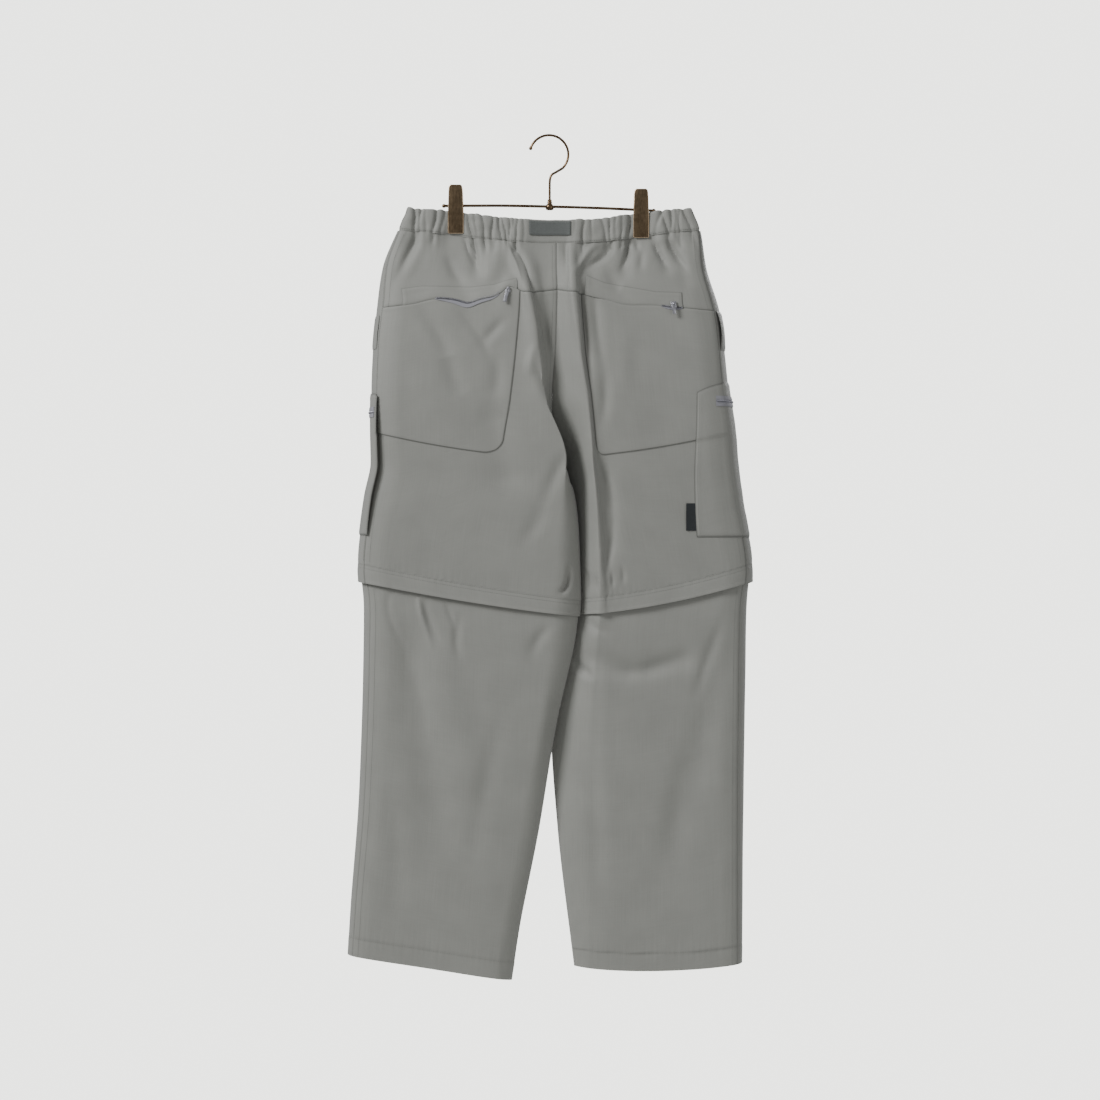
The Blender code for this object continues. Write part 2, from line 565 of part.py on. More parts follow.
def waistband(finishes, into):
    bands = waistband_surfaces()
    for face, surface in bands.items():
        grid = trimmed(surface.grid)
        raised = gathers(grid) if face == "back" else 0.0
        outer = grid + surface.normals * (BAND_CLOTH / 2 + raised)
        inner = grid - surface.normals * BAND_CLOTH / 2
        wall(f"waistband_{face}", outer, inner, finishes["cloth"], into)
    back = bands["back"].moved(BAND_CLOTH / 2)
    across = back.grid[1, :, 0] / MM
    ends = (WEBBING_CENTRE - WEBBING_HALF, WEBBING_CENTRE + WEBBING_HALF)
    columns = np.array(run(*np.interp(ends, across, np.arange(len(across)))))
    rows = np.array((WEBBING_TOP, 1.0, WEBBING_BOTTOM))[:, None]
    lay("webbing_patch", back, rows, columns[None], PATCH_CLOTH, finishes["webbing"], into)


def seat_panels(side, cloth, levels, finishes, into):
    """Yoke, back and front panels of one side."""
    upper = cloth["upper", side]
    seam = levels["upper"].index(float(YOKE))
    ease_at = [math.exp(-(((level - CROTCH) / CROTCH_TRIM_REACH) ** 2)) for level in levels["upper"]]
    side_trim = SEAM_TRIM + CROTCH_TRIM * np.array(ease_at)[:, None]
    finish = finishes["cloth"]
    panel(f"yoke_{side}", upper, slice(0, seam + 1), BACK, finish, into)
    panel(f"back_{side}", upper, slice(seam, None), BACK, finish, into, side_trim=side_trim[seam:])
    panel(f"front_{side}", upper, slice(None), FRONT, finish, into, side_trim=side_trim)


def back_pocket(side, cloth, levels, finishes, into):
    """The patch pocket on the back, the zip tape at its mouth and the stitched placket over it."""
    outer = cloth["upper", side].moved(CLOTH / 2)
    seam, foot = (levels["upper"].index(float(level)) for level in (YOKE, CROTCH))
    down = [seam + POCKET_TOP_GAP, *range(seam + 1, foot + 1)]
    across = [SIDE + POCKET_SIDE_GAP, *range(SIDE + 1, POCKET_EDGE + 1)]
    rows, columns = np.meshgrid(down, across, indexing="ij")
    rows[-1, -1] -= CORNER_CUT
    columns[-1, -1] -= CORNER_CUT
    pocket = lay(f"back_pocket_{side}", outer, rows, columns, PATCH_CLOTH, finishes["cloth"], into)

    def seam_z(surface, row):
        return lambda column: sample(surface.grid, row, column)[2] / MM

    placket_ends = [outer.column_at(seam, x) for x in PLACKET_X[side]]
    line = seam_z(outer, seam)
    rows, columns = field(
        outer, run(*placket_ends),
        lambda column: line(column) + PLACKET_ABOVE_SEAM + PLACKET_HEIGHT,
        lambda column: line(column) + PLACKET_ABOVE_SEAM,
    )
    lay(
        f"back_placket_{side}", outer, rows, columns, PATCH_CLOTH, finishes["cloth"], into,
        lift=PLACKET_LIFT,
    )

    first, last = (outer.column_at(seam, x) - SIDE for x in BACK_TAPE_X[side])
    line = seam_z(pocket, 0)
    depth = BACK_TAPE_DEPTH[side] - BACK_TAPE_EDGE

    def tape_foot(column):
        bow = math.sin(math.pi * (column - first) / (last - first))
        return line(column) - BACK_TAPE_EDGE - depth * bow

    rows, columns = field(
        pocket, run(first, last), lambda column: line(column) - BACK_TAPE_TOP, tape_foot,
    )
    lay(f"back_zip_{side}", pocket, rows, columns, TAPE, finishes["zip"], into)


def side_pockets(side, cloth, levels, finishes, into):
    """The hand pocket's welt and the cargo pocket with its zip, round the side seam."""
    outer = cloth["upper", side].moved(CLOTH / 2)
    top, bottom = WELT_Z[side]
    across = [SIDE + step for step in WELT_COLUMNS]
    rows, columns = field(outer, across, lambda column: top, lambda column: bottom)
    swell = np.sin(np.linspace(0, math.pi, len(rows)))[:, None] * np.array(WELT_SWELL)
    lay(
        f"hand_pocket_welt_{side}", outer, rows, columns, PATCH_CLOTH, finishes["cloth"], into,
        lift=WELT_PUFF[side] * swell[..., None],
    )

    cargo = CARGO[side]
    first, last = SIDE + cargo["front"], SIDE + cargo["back"]

    def top_edge(column):
        far = abs(column - SIDE) / max(-cargo["front"], cargo["back"])
        return cargo["top"] - cargo["drop"] * far**CARGO_TOP_CURVE

    rows, columns = field(outer, run(first, last), top_edge, lambda column: cargo["bottom"])
    if cargo["fold"] == 0:
        for r in range(len(rows)):
            columns[r, -1] = outer.column_at(rows[r, -1], CARGO_BACK_X)
            columns[r, -2] = min(columns[r, -2], columns[r, -1] - CARGO_LAST_COLUMN)
        for r in (0, -1):
            height = top_edge(last) if r == 0 else cargo["bottom"]
            rows[r, -1], columns[r, -1] = outer.spot(CARGO_BACK_X, height)
    down = np.linspace(0, 1, len(rows))[:, None, None]
    across = np.linspace(0, 1, columns.shape[1])[None, :, None]
    lift = cargo["puff"] * (np.sin(math.pi * down) * np.sin(math.pi * across)) ** CARGO_PUFF_CURVE
    stretch = CARGO_FOLD_START + CARGO_FOLD_SPAN * down
    lift = lift + cargo["fold"] * across**3 * np.sin(math.pi * stretch) ** CARGO_FOLD_CURVE
    foot = levels["upper"].index(float(CROTCH))
    over_pocket = (rows < foot + OVER_POCKET_ROWS) & (columns > SIDE - OVER_POCKET_COLUMNS)
    lift = lift + (PATCH_CLOTH + LAY_GAP) * over_pocket[..., None]
    name, finish = f"cargo_pocket_{side}", finishes["cloth"]
    pocket = lay(name, outer, rows, columns, PATCH_CLOTH, finish, into, lift=lift)

    start, end = CARGO_ZIP_ENDS[side]
    line = cargo["top"] - CARGO_ZIP_DROP
    across = run(start, columns.shape[1] - 1 - end)
    rows, columns = field(
        pocket, across, lambda column: line, lambda column: line - CARGO_ZIP_HEIGHT,
    )
    lay(f"cargo_zip_{side}", pocket, rows, columns, TAPE, finishes["zip"], into)


def label_tab(cloth, finishes, into):
    """The bare woven tab sewn into the right cargo pocket's back edge."""
    outer = cloth["upper", "right"].moved(CLOTH / 2)
    corners = [[outer.spot(x, z) for x in reversed(LABEL_X)] for z in LABEL_Z]
    middle = [tuple((a + b) / 2 for a, b in zip(*pair)) for pair in zip(*corners)]
    spots = np.array([corners[0], middle, corners[1]])
    lay("label_tab", outer, spots[..., 0], spots[..., 1], TAPE, finishes["label"], into)


def lower_leg(side, cloth, levels, finishes, into):
    """The knee flap over the zip, and the lower leg that the zip takes off."""
    calm = np.array([1 - ease(CALM_FROM, CALM_TO, abs(place)) for place in LOOP])[None, :, None]
    flare = np.array(FLAP_FLARE)[:, None, None] * calm
    down = levels["lower"]
    tuck = np.array([TUCK * (1 - ease(TUCK_LEVELS[0], SHIN, level)) for level in down])
    thick = np.array([HEM_CLOTH if level >= HEM_TOP else CLOTH for level in down])
    for face, columns in (("back", BACK), ("front", FRONT)):
        panel(
            f"zip_flap_{face}_{side}", cloth["flap", side], slice(None), columns, finishes["cloth"],
            into, shift=flare[:, columns],
        )
        panel(
            f"lower_leg_{face}_{side}", cloth["lower", side], slice(None), columns, finishes["cloth"],
            into, thickness=thick[:, None, None], shift=tuck[:, None, None],
        )
    panel(
        f"knee_zip_{side}", cloth["zip", side], slice(None), slice(None), finishes["zip"], into,
        thickness=TAPE, shift=ZIP_INSET,
    )


# Hanger

def rod(name, path, radii, into):
    """A round wire along a path, with a radius at each point."""
    curve = bpy.data.curves.new(name, "CURVE")
    curve.dimensions = "3D"
    curve.bevel_depth = MM
    curve.bevel_resolution = 2
    curve.use_fill_caps = True
    spline = curve.splines.new("POLY")
    spline.points.add(len(path) - 1)
    for point, (x, z), radius in zip(spline.points, path, radii):
        point.co = (x * MM, 0.0, z * MM, 1.0)
        point.radius = radius
    obj = bpy.data.objects.new(name, curve)
    into.objects.link(obj)
    return obj


def bead_radius(distance, bead, wire):
    """The radius at a distance from the end of a wire that ends in a round bead."""
    round_part = math.sqrt(max(0.0, bead**2 - (bead - distance) ** 2))
    return max(round_part, wire if distance > bead else 0.0)


def solid_mesh(obj, name):
    """The evaluated shape of an object as welded mesh data, in world space; the object goes."""
    bpy.context.view_layer.update()
    evaluated = obj.evaluated_get(bpy.context.evaluated_depsgraph_get())
    data = bpy.data.meshes.new_from_object(evaluated)
    data.transform(obj.matrix_world)
    mesh = bmesh.new()
    mesh.from_mesh(data)
    bmesh.ops.remove_doubles(mesh, verts=mesh.verts, dist=WELD)
    bmesh.ops.recalc_face_normals(mesh, faces=mesh.faces)
    mesh.to_mesh(data)
    mesh.free()
    data.name = name
    bpy.data.objects.remove(obj)
    return data


def hook(finishes, into):
    """The wire hook: a beaded tip, a round bend and a stem that ends in the ferrule's socket."""
    arc_length = (HOOK_START - HOOK_END) * HOOK_RADIUS
    steps = [TIP_RADIUS * step for step in BEAD_STEPS]
    steps += list(np.arange(steps[-1] + HOOK_ARC_STEP / 2, arc_length, HOOK_ARC_STEP))
    path, radii = [], []
    for step in steps:
        angle = HOOK_START - step / HOOK_RADIUS
        path.append((HOOK_RADIUS * math.cos(angle), HOOK_CENTRE + HOOK_RADIUS * math.sin(angle)))
        radii.append(bead_radius(step, TIP_RADIUS, WIRE_RADIUS))
    path += STEM_POINTS
    radii += [WIRE_RADIUS] * len(STEM_POINTS)
    data = solid_mesh(rod("hook wire", path, radii, into), "hanger_hook")
    piece("hanger_hook", data, finishes["wire"], into)


def turned(name, profile, axis, steps, into, closed=False):
    """A profile, given as (radius, height), turned about an axis."""
    data = bpy.data.meshes.new(name)
    edges = [(k, k + 1) for k in range(len(profile) - 1)]
    if closed:
        edges.append((len(profile) - 1, 0))
    points = [(r * MM, 0.0, h * MM) if axis == "Z" else (h * MM, 0.0, r * MM) for r, h in profile]
    data.from_pydata(points, edges, [])
    obj = bpy.data.objects.new(name, data)
    into.objects.link(obj)
    screw = obj.modifiers.new("turn", "SCREW")
    screw.axis = axis
    screw.steps = screw.render_steps = steps
    screw.use_merge_vertices = True
    screw.merge_threshold = WELD
    return obj


def combined(base, others, operation):
    """The base with each of the others joined to it or cut from it."""
    for other in others:
        boolean = base.modifiers.new(operation.lower(), "BOOLEAN")
        boolean.operation = operation
        boolean.solver = "EXACT"
        boolean.object = other
    data = solid_mesh(base, base.name)
    for other in others:
        bpy.data.objects.remove(other)
    return data


def bar(finishes, helpers, into):
    """The crossbar with beaded ends, cast in one with the ferrule that takes the hook's stem."""
    low, high = BAR_X[0], BAR_X[-1]
    beads = [BAR_END_RADIUS * step for step in BEAD_STEPS]
    middle = np.arange(low + beads[-1] + BAR_STEP / 2, high - beads[-1] - BAR_STEP / 4, BAR_STEP)
    reach = [low + step for step in beads] + list(middle) + [high - step for step in reversed(beads)]
    path = [(x, bar_height(x)) for x in reach]
    radii = [bead_radius(min(x - low, high - x), BAR_END_RADIUS, BAR_RADIUS) for x in reach]
    bar_data = solid_mesh(rod("crossbar", path, radii, helpers), "crossbar")
    crossbar = bpy.data.objects.new("crossbar", bar_data)
    helpers.objects.link(crossbar)
    profile = [(0.0, SOCKET_END), (SOCKET_RADIUS, SOCKET_END), (SOCKET_RADIUS, FERRULE_PROFILE[0][1])]
    ferrule = turned("ferrule", profile + list(FERRULE_PROFILE), "Z", FERRULE_STEPS, helpers)
    ferrule_data = solid_mesh(ferrule, "hanger_bar")
    ferrule_data.transform(Matrix.Translation((STEM_POINTS[-1][0] * MM, 0.0, 0.0)))
    body = bpy.data.objects.new("hanger_bar", ferrule_data)
    helpers.objects.link(body)
    piece("hanger_bar", combined(body, [crossbar], "UNION"), finishes["wire"], into)


def bar_height(x):
    return float(smooth_curve(BAR_X, BAR_Z, x))


def clip(side, finishes, helpers, into):
    """A spring clip: a back jaw and a front jaw on the waistband, and the spring round the bar."""
    centre, height = CLIP_X[side], bar_height(CLIP_X[side])
    for face, turn in (("back", -1), ("front", 1)):
        grids = []
        for offset in (CLIP_SHEET / 2, -CLIP_SHEET / 2):
            grids.append(np.array([
                [(centre + across * half, turn * (away + offset), height + up) for across in CLIP_ACROSS]
                for up, away, half in CLIP_PROFILE
            ]) * MM)
        wall(f"clip_jaw_{face}_{side}", *grids, finishes["brass"], into)
    profile = [
        (SPRING_OUTER, -SPRING_HALF), (SPRING_OUTER, SPRING_HALF),
        (SPRING_INNER, SPRING_HALF), (SPRING_INNER, -SPRING_HALF),
    ]
    spring = turned("spring", profile, "X", FERRULE_STEPS, helpers, closed=True)
    spring.location = (centre * MM, 0.0, height * MM)
    piece(f"clip_spring_{side}", solid_mesh(spring, "spring"), finishes["brass"], into)


# Zip sliders and pulls

def box(name, low, high, into):
    data = bpy.data.meshes.new(name)
    mesh = bmesh.new()
    size = [(b - a) * MM for a, b in zip(low, high)]
    middle = [(a + b) / 2 * MM for a, b in zip(low, high)]
    bmesh.ops.create_cube(mesh, size=1.0, matrix=Matrix.Translation(middle) @ Matrix.Diagonal((*size, 1.0)))
    mesh.to_mesh(data)
    mesh.free()
    obj = bpy.data.objects.new(name, data)
    into.objects.link(obj)
    return obj


def cross_pin(name, radius, half_length, into):
    """A round pin along X through the origin."""
    data = bpy.data.meshes.new(name)
    mesh = bmesh.new()
    bmesh.ops.create_cone(
        mesh, cap_ends=True, segments=PIN_SIDES, radius1=radius * MM, radius2=radius * MM,
        depth=2 * half_length * MM, matrix=Matrix.Rotation(math.pi / 2, 4, "Y"),
    )
    mesh.to_mesh(data)
    mesh.free()
    obj = bpy.data.objects.new(name, data)
    into.objects.link(obj)
    return obj


def slider_frame(side, cloth):
    """Where a slider's pin lies: X along the pin, Z up the cloth and -Y out from it."""
    outer = cloth["upper", side].moved(CLOTH / 2)
    spot = outer.spot(SLIDERS[side]["x"], SLIDERS[side]["z"])
    point = Vector(sample(outer.grid, *spot))
    normal = Vector(sample(outer.normals, *spot)).normalized()
    across = Vector((0, 0, 1)).cross(normal).normalized()
    up = normal.cross(across)
    turn = Matrix((across, -normal, up)).transposed().to_4x4()
    tilt = Matrix.Rotation(SLIDERS[side]["tilt"], 4, "Y")
    return Matrix.Translation(point + normal * SLIDER_LIFT) @ turn @ tilt


def slider_and_pull(side, cloth, finishes, helpers, into):
    """A zip slider with a lug, and the pull that swings on a pin through it."""
    frame = slider_frame(side, cloth)
    low = (-SLIDER_HALF_WIDTH, -SLIDER_OUT, SLIDER_DOWN)
    body = box("slider", low, (SLIDER_HALF_WIDTH, -SLIDER_IN, SLIDER_UP), helpers)
    low = (-LUG_HALF_WIDTH, -LUG_OUT, -LUG_HALF_HEIGHT)
    lug = box("lug", low, (LUG_HALF_WIDTH, JOIN - SLIDER_OUT, LUG_HALF_HEIGHT), helpers)
    joined = bpy.data.objects.new("slider", combined(body, [lug], "UNION"))
    helpers.objects.link(joined)
    data = combined(joined, [cross_pin("eye", EYE_RADIUS, 2 * LUG_HALF_WIDTH, helpers)], "DIFFERENCE")
    piece(f"back_slider_{side}", data, finishes["pull"], into).matrix_world = frame

    length = SLIDERS[side]["length"]
    low = (-PULL_HALF_WIDTH, -PULL_HALF_THICKNESS, -length)
    plate = box("plate", low, (PULL_HALF_WIDTH, PULL_HALF_THICKNESS, PULL_SHOULDER), helpers)
    prongs = []
    for left, right in ((-PULL_HALF_WIDTH, -PRONG_IN), (PRONG_IN, PULL_HALF_WIDTH)):
        low = (left, -PULL_HALF_THICKNESS, PULL_SHOULDER - JOIN)
        prongs.append(box("prong", low, (right, PULL_HALF_THICKNESS, PRONG_TOP), helpers))
    pin = cross_pin("pin", PIN_RADIUS, (PRONG_IN + PULL_HALF_WIDTH) / 2, helpers)
    data = combined(plate, [*prongs, pin], "UNION")
    piece(f"back_pull_{side}", data, finishes["pull"], into).matrix_world = frame


def main():
    for obj in list(bpy.data.objects):
        bpy.data.objects.remove(obj)
    parts = collection("zip-off trousers on a clip hanger")
    helpers = collection("cutters")
    finishes = {
        "cloth": material("grey nylon", GREY, 0.75),
        "webbing": material("dark webbing", DARK_GREY, 0.8),
        "zip": material("lavender zip tape", LAVENDER, 0.6),
        "pull": material("zip metal", LAVENDER, 0.35, 0.8),
        "label": material("woven tab", CHARCOAL, 0.7),
        "brass": material("antique brass", BRASS, 0.35, 1.0),
        "wire": material("dark brass wire", DARK_BRASS, 0.3, 1.0),
    }
    cloth = clothes()
    levels = cloth["levels"]
    waistband(finishes, parts)
    for side in TABLES:
        seat_panels(side, cloth, levels, finishes, parts)
        back_pocket(side, cloth, levels, finishes, parts)
        side_pockets(side, cloth, levels, finishes, parts)
        lower_leg(side, cloth, levels, finishes, parts)
        clip(side, finishes, helpers, parts)
        slider_and_pull(side, cloth, finishes, helpers, parts)
    label_tab(cloth, finishes, parts)
    hook(finishes, parts)
    bar(finishes, helpers, parts)


main()
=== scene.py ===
"""Convertible zip-off trousers, seen from the back, hung by the waistband from a clip hanger.

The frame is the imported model's: metres, +Z up, -Y towards the trousers' back, and the origin at the
top of the hook's inside. Tables are in millimetres and repeat the part's own cut. Left and right are
as the photograph shows them.
"""

import math

import bmesh
import bpy
import numpy as np
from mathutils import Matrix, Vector


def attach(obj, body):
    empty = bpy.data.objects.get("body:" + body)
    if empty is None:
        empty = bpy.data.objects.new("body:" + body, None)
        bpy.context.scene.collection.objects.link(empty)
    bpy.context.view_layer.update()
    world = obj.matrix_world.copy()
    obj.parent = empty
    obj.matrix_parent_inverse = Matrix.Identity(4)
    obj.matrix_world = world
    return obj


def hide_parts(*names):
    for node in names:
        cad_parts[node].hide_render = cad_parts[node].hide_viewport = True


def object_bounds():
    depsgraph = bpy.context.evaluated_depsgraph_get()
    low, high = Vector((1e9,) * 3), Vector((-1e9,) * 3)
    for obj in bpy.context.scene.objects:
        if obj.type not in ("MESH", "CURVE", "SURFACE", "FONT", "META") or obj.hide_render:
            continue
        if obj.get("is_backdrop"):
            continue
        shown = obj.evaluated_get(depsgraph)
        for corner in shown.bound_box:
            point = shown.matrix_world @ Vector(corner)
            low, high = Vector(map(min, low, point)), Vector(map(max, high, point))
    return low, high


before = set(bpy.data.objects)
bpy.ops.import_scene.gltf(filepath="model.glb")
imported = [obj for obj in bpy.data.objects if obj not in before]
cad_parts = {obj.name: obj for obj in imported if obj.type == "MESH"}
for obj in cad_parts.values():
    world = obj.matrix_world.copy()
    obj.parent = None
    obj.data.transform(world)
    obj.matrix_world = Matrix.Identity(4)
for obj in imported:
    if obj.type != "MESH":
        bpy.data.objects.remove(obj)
cad_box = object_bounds()

MM = 0.001
TINY = 1e-9
BODY = "trousers"
SIDES = ("left", "right")
FACING = {"left": -1, "right": 1}
SEED, FRONT_SEED = 11, 61

# Camera, in metres, and the width of its sensor in millimetres
CAMERA_DISTANCE, CAMERA_HEIGHT, CAMERA_X, PHOTO_WIDTH, SENSOR = 3.5, -0.550, 0.0013, 1.463, 36.0

# Cloth and the gaps between its layers
CLOTH, BAND_CLOTH, PATCH_CLOTH, TAPE = 1.1, 2.2, 0.9, 0.6
HEM_CLOTH = 1.9
LAID_CLOTH = {"nylon": PATCH_CLOTH, "webbing": PATCH_CLOTH, "zip_tape": TAPE, "label": TAPE}
SEAM_TRIM, LAY_GAP = 0.02, 0.25
CROTCH_TRIM, CROTCH_TRIM_REACH = 0.25, 0.2

# Levels of the section tables, from the waistband's top edge to the hem
TOP, WAIST, HIP, YOKE, SEAT, LOW_SEAT, CROTCH, FORK, THIGH, KNEE, SHIN, CALF, LOW, ANKLE, HEM = range(15)
COLUMNS = (
    "z_side z_centre sag x_side x_pocket x_ridge x_valley x_centre"
    " y_flat y_ridge y_valley y_centre y_front y_front_inner y_front_centre"
).split()
LEFT_ROWS = {
    TOP: (-95.5, -112, 1, -188, -60, -44, -18, 10, -7, -9, -8, -7, 7, 7, 7),
    WAIST: (-126, -143, 2, -201, -58, -43, -16, 10, -9, -12, -9, -9, 9, 9, 9),
    HIP: (-175, -175, 2, -221, -44, -29, -9, 10, -20, -25, -16, -15, 15, 15, 15),
    YOKE: (-231, -206, 1, -229, -38, -23, -6, 11, -31, -37, -24, -23, 21, 21, 21),
    SEAT: (-284, -277, 0, -234, -43, -15, -2, 9, -37, -43, -26, -24, 25, 25, 24),
    LOW_SEAT: (-344, -350, 2, -236, -51, -4, -1, 4, -40, -46, -28, -18, 27, 26, 19),
    CROTCH: (-394, -430, 6, -235, -62, 23, 20, 7, -39, -44, -18, 3, 27, 20, 3),
    FORK: (-433, -470, 5, -234, -64, 19, 29, 32, -37, -41, -27, -13, 25, 1, -13),
    THIGH: (-483, -523, 5, -244, -65, 14, 33, 39, -36, -39, -28, -14, 24, -1, -14),
    KNEE: (-566, -616, 4, -254, -67, 8, 32, 42, -32, -34, -26, -14, 22, -2, -14),
    SHIN: (-632, -670, 3, -246, -70, 2, 25, 34, -29, -30, -23, -13, 21, -2, -13),
    CALF: (-749, -783, 0, -248, -76, -14, 3, 9, -28, -28, -20, -11, 21, 0, -11),
    LOW: (-882, -922, 0, -253, -88, -38, -20, -14, -26, -24, -17, -8, 20, 3, -8),
    ANKLE: (-1015, -1049, 0, -263, -104, -62, -46, -39, -23, -20, -13, -5, 19, 6, -5),
    HEM: (-1087, -1121, 0, -267, -112, -72, -57, -50, -20, -17, -10, -2, 18, 8, -2),
}
RIGHT_ROWS = {
    TOP: (-96.5, -112, 1, 189, 62, 36, 24, 10, -7, -9, -8, -7, 7, 7, 7),
    WAIST: (-126, -143, 2, 201, 54, 33, 22, 10, -9, -12, -9, -9, 9, 9, 9),
    HIP: (-175, -175, 2, 209, 46, 32, 22, 10, -20, -26, -19, -15, 15, 15, 15),
    YOKE: (-235, -206, 4, 227, 43, 34, 23, 11, -31, -38, -31, -23, 21, 21, 21),
    SEAT: (-284, -277, 2, 233, 47, 40, 23, 9, -37, -44, -33, -24, 25, 25, 24),
    LOW_SEAT: (-344, -350, 2, 239, 56, 50, 23, 4, -40, -46, -29, -18, 27, 26, 19),
    CROTCH: (-394, -430, 6, 245, 63, 57, 29, 7, -39, -46, -9, 3, 28, 24, 3),
    FORK: (-433, -470, 6, 248, 67, 61, 36, 5, -38, -45, -4, 12, 29, 27, 12),
    THIGH: (-483, -523, 7, 255, 75, 65, 38, 5, -36, -42, -3, 14, 29, 27, 14),
    KNEE: (-566, -616, 9, 270, 80, 68, 40, 6, -32, -35, -5, 13, 26, 24, 13),
    SHIN: (-632, -670, 8, 262, 81, 65, 38, 6, -29, -29, -6, 12, 24, 22, 12),
    CALF: (-749, -783, 5, 260, 81, 57, 28, 3, -28, -24, -8, 9, 23, 20, 9),
    LOW: (-882, -922, 3, 258, 84, 55, 25, 12, -26, -23, -12, 3, 21, 18, 3),
    ANKLE: (-1015, -1049, 4, 257, 88, 55, 37, 27, -23, -20, -12, -1, 19, 15, -1),
    HEM: (-1098, -1102, 7, 256, 92, 57, 41, 34, -20, -17, -10, -2, 18, 12, -2),
}
TABLES = {"left": LEFT_ROWS, "right": RIGHT_ROWS}
CENTRE_COLUMNS = ("z_centre", "x_centre", "y_centre", "y_front_centre")

# Places along a section: 0 at the side seam, 1 at the centre back, -1 at the centre front
BACK_KNOTS = (0.0, 0.10, 0.58, 0.78, 0.90, 1.0)
FRONT_KNOTS = (-1.0, -0.88, -0.55, -0.16, -0.06, 0.0)
POCKET_EDGE = 0.58
SIDE_DEPTH, SIDE_TURN, FULL_DEPTH = 10.0, 30.0, 30.0
SEAM_SHARE, TURN_SHARE = 0.70, 0.95
INNER_SHARE, MIDDLE_SHARE, FRONT_TURN, FRONT_TURN_DEPTH = 0.09, 0.45, 0.6, 0.9
PAST_SIDE, PAST_SIDE_FRONT, PAST_CENTRE = 0.06, 0.10, 1.12
BACK_COLUMNS, FRONT_COLUMNS = 112, 66
ROW_STEP, LOWER_ROW_STEP = 2.7, 3.6
SEAM_STEPS, SEAM_LEVELS_PER_MM = (0.6, 1.3, 2.3), 0.0225
# Painted shade along seams and pocket edges: its strength, its width, and the share of the colour left where
# it is fullest
SEAM_SHADE, SEAM_SHADE_WIDTH, PAINTED_SHADE_DARKEST = 1.0, 0.95, 0.3
# Painted shade deep between the legs: its strength, the places it spans, and the levels where it starts and
# ends
CROTCH_PAINTED_SHADE, CROTCH_PAINTED_SHADE_PLACES = 1.05, (0.84, 0.965)
CROTCH_PAINTED_SHADE_START, CROTCH_PAINTED_SHADE_END = (LOW_SEAT - 0.3, CROTCH + 0.4), (KNEE - 0.35, KNEE + 0.1)

# How finely lines are measured, and how far grid lines keep from a seam's own
FINE, COARSE, SPOT_STEPS = 400, 200, 12
SEAM_CLEAR, EDGE_SECOND = 1.2, 2.2

# Main folds, as in the part's source: x and z of both ends, half-width, and how far the cloth sinks
FOLDS = {
    "back": (
        (-173, -135, -203, -205, 11, 4.0), (-190, -150, -207, -230, 12, -2.5),
        (-104, -135, -94, -190, 9, 3.5), (-122, -150, -118, -215, 16, 2.5),
        (-62, -140, -80, -195, 12, -3.0), (78, -140, 45, -188, 10, 4.5), (66, -150, 36, -205, 9, -3.5),
        (108, -138, 98, -190, 9, 3.0), (140, -140, 160, -185, 9, 3.5), (160, -140, 188, -205, 10, 3.5),
        (72, -430, 78, -560, 13, 4.5), (-78, -360, -48, -470, 22, 3.5),
        (-195, -650, -140, -930, 24, 4.5), (-150, -660, -95, -880, 22, -3.0),
        (45, -690, 118, -712, 15, 4.5), (118, -712, 190, -690, 15, 4.0),
        (245, -670, 150, -980, 24, 4.0),
    ),
    "front": (
        (-150, -160, -120, -330, 20, 4.0), (140, -160, 110, -340, 20, 4.0),
        (-60, -380, -160, -560, 20, 4.0), (90, -380, 170, -560, 20, 4.0),
        (-200, -680, -130, -960, 24, 4.0), (200, -680, 140, -980, 24, 4.0),
    ),
}
FOLD_CORE, FOLD_FADE = 0.3, 0.2
FOLD_EDGE_SLOPE, FOLD_START = 6, 0.4

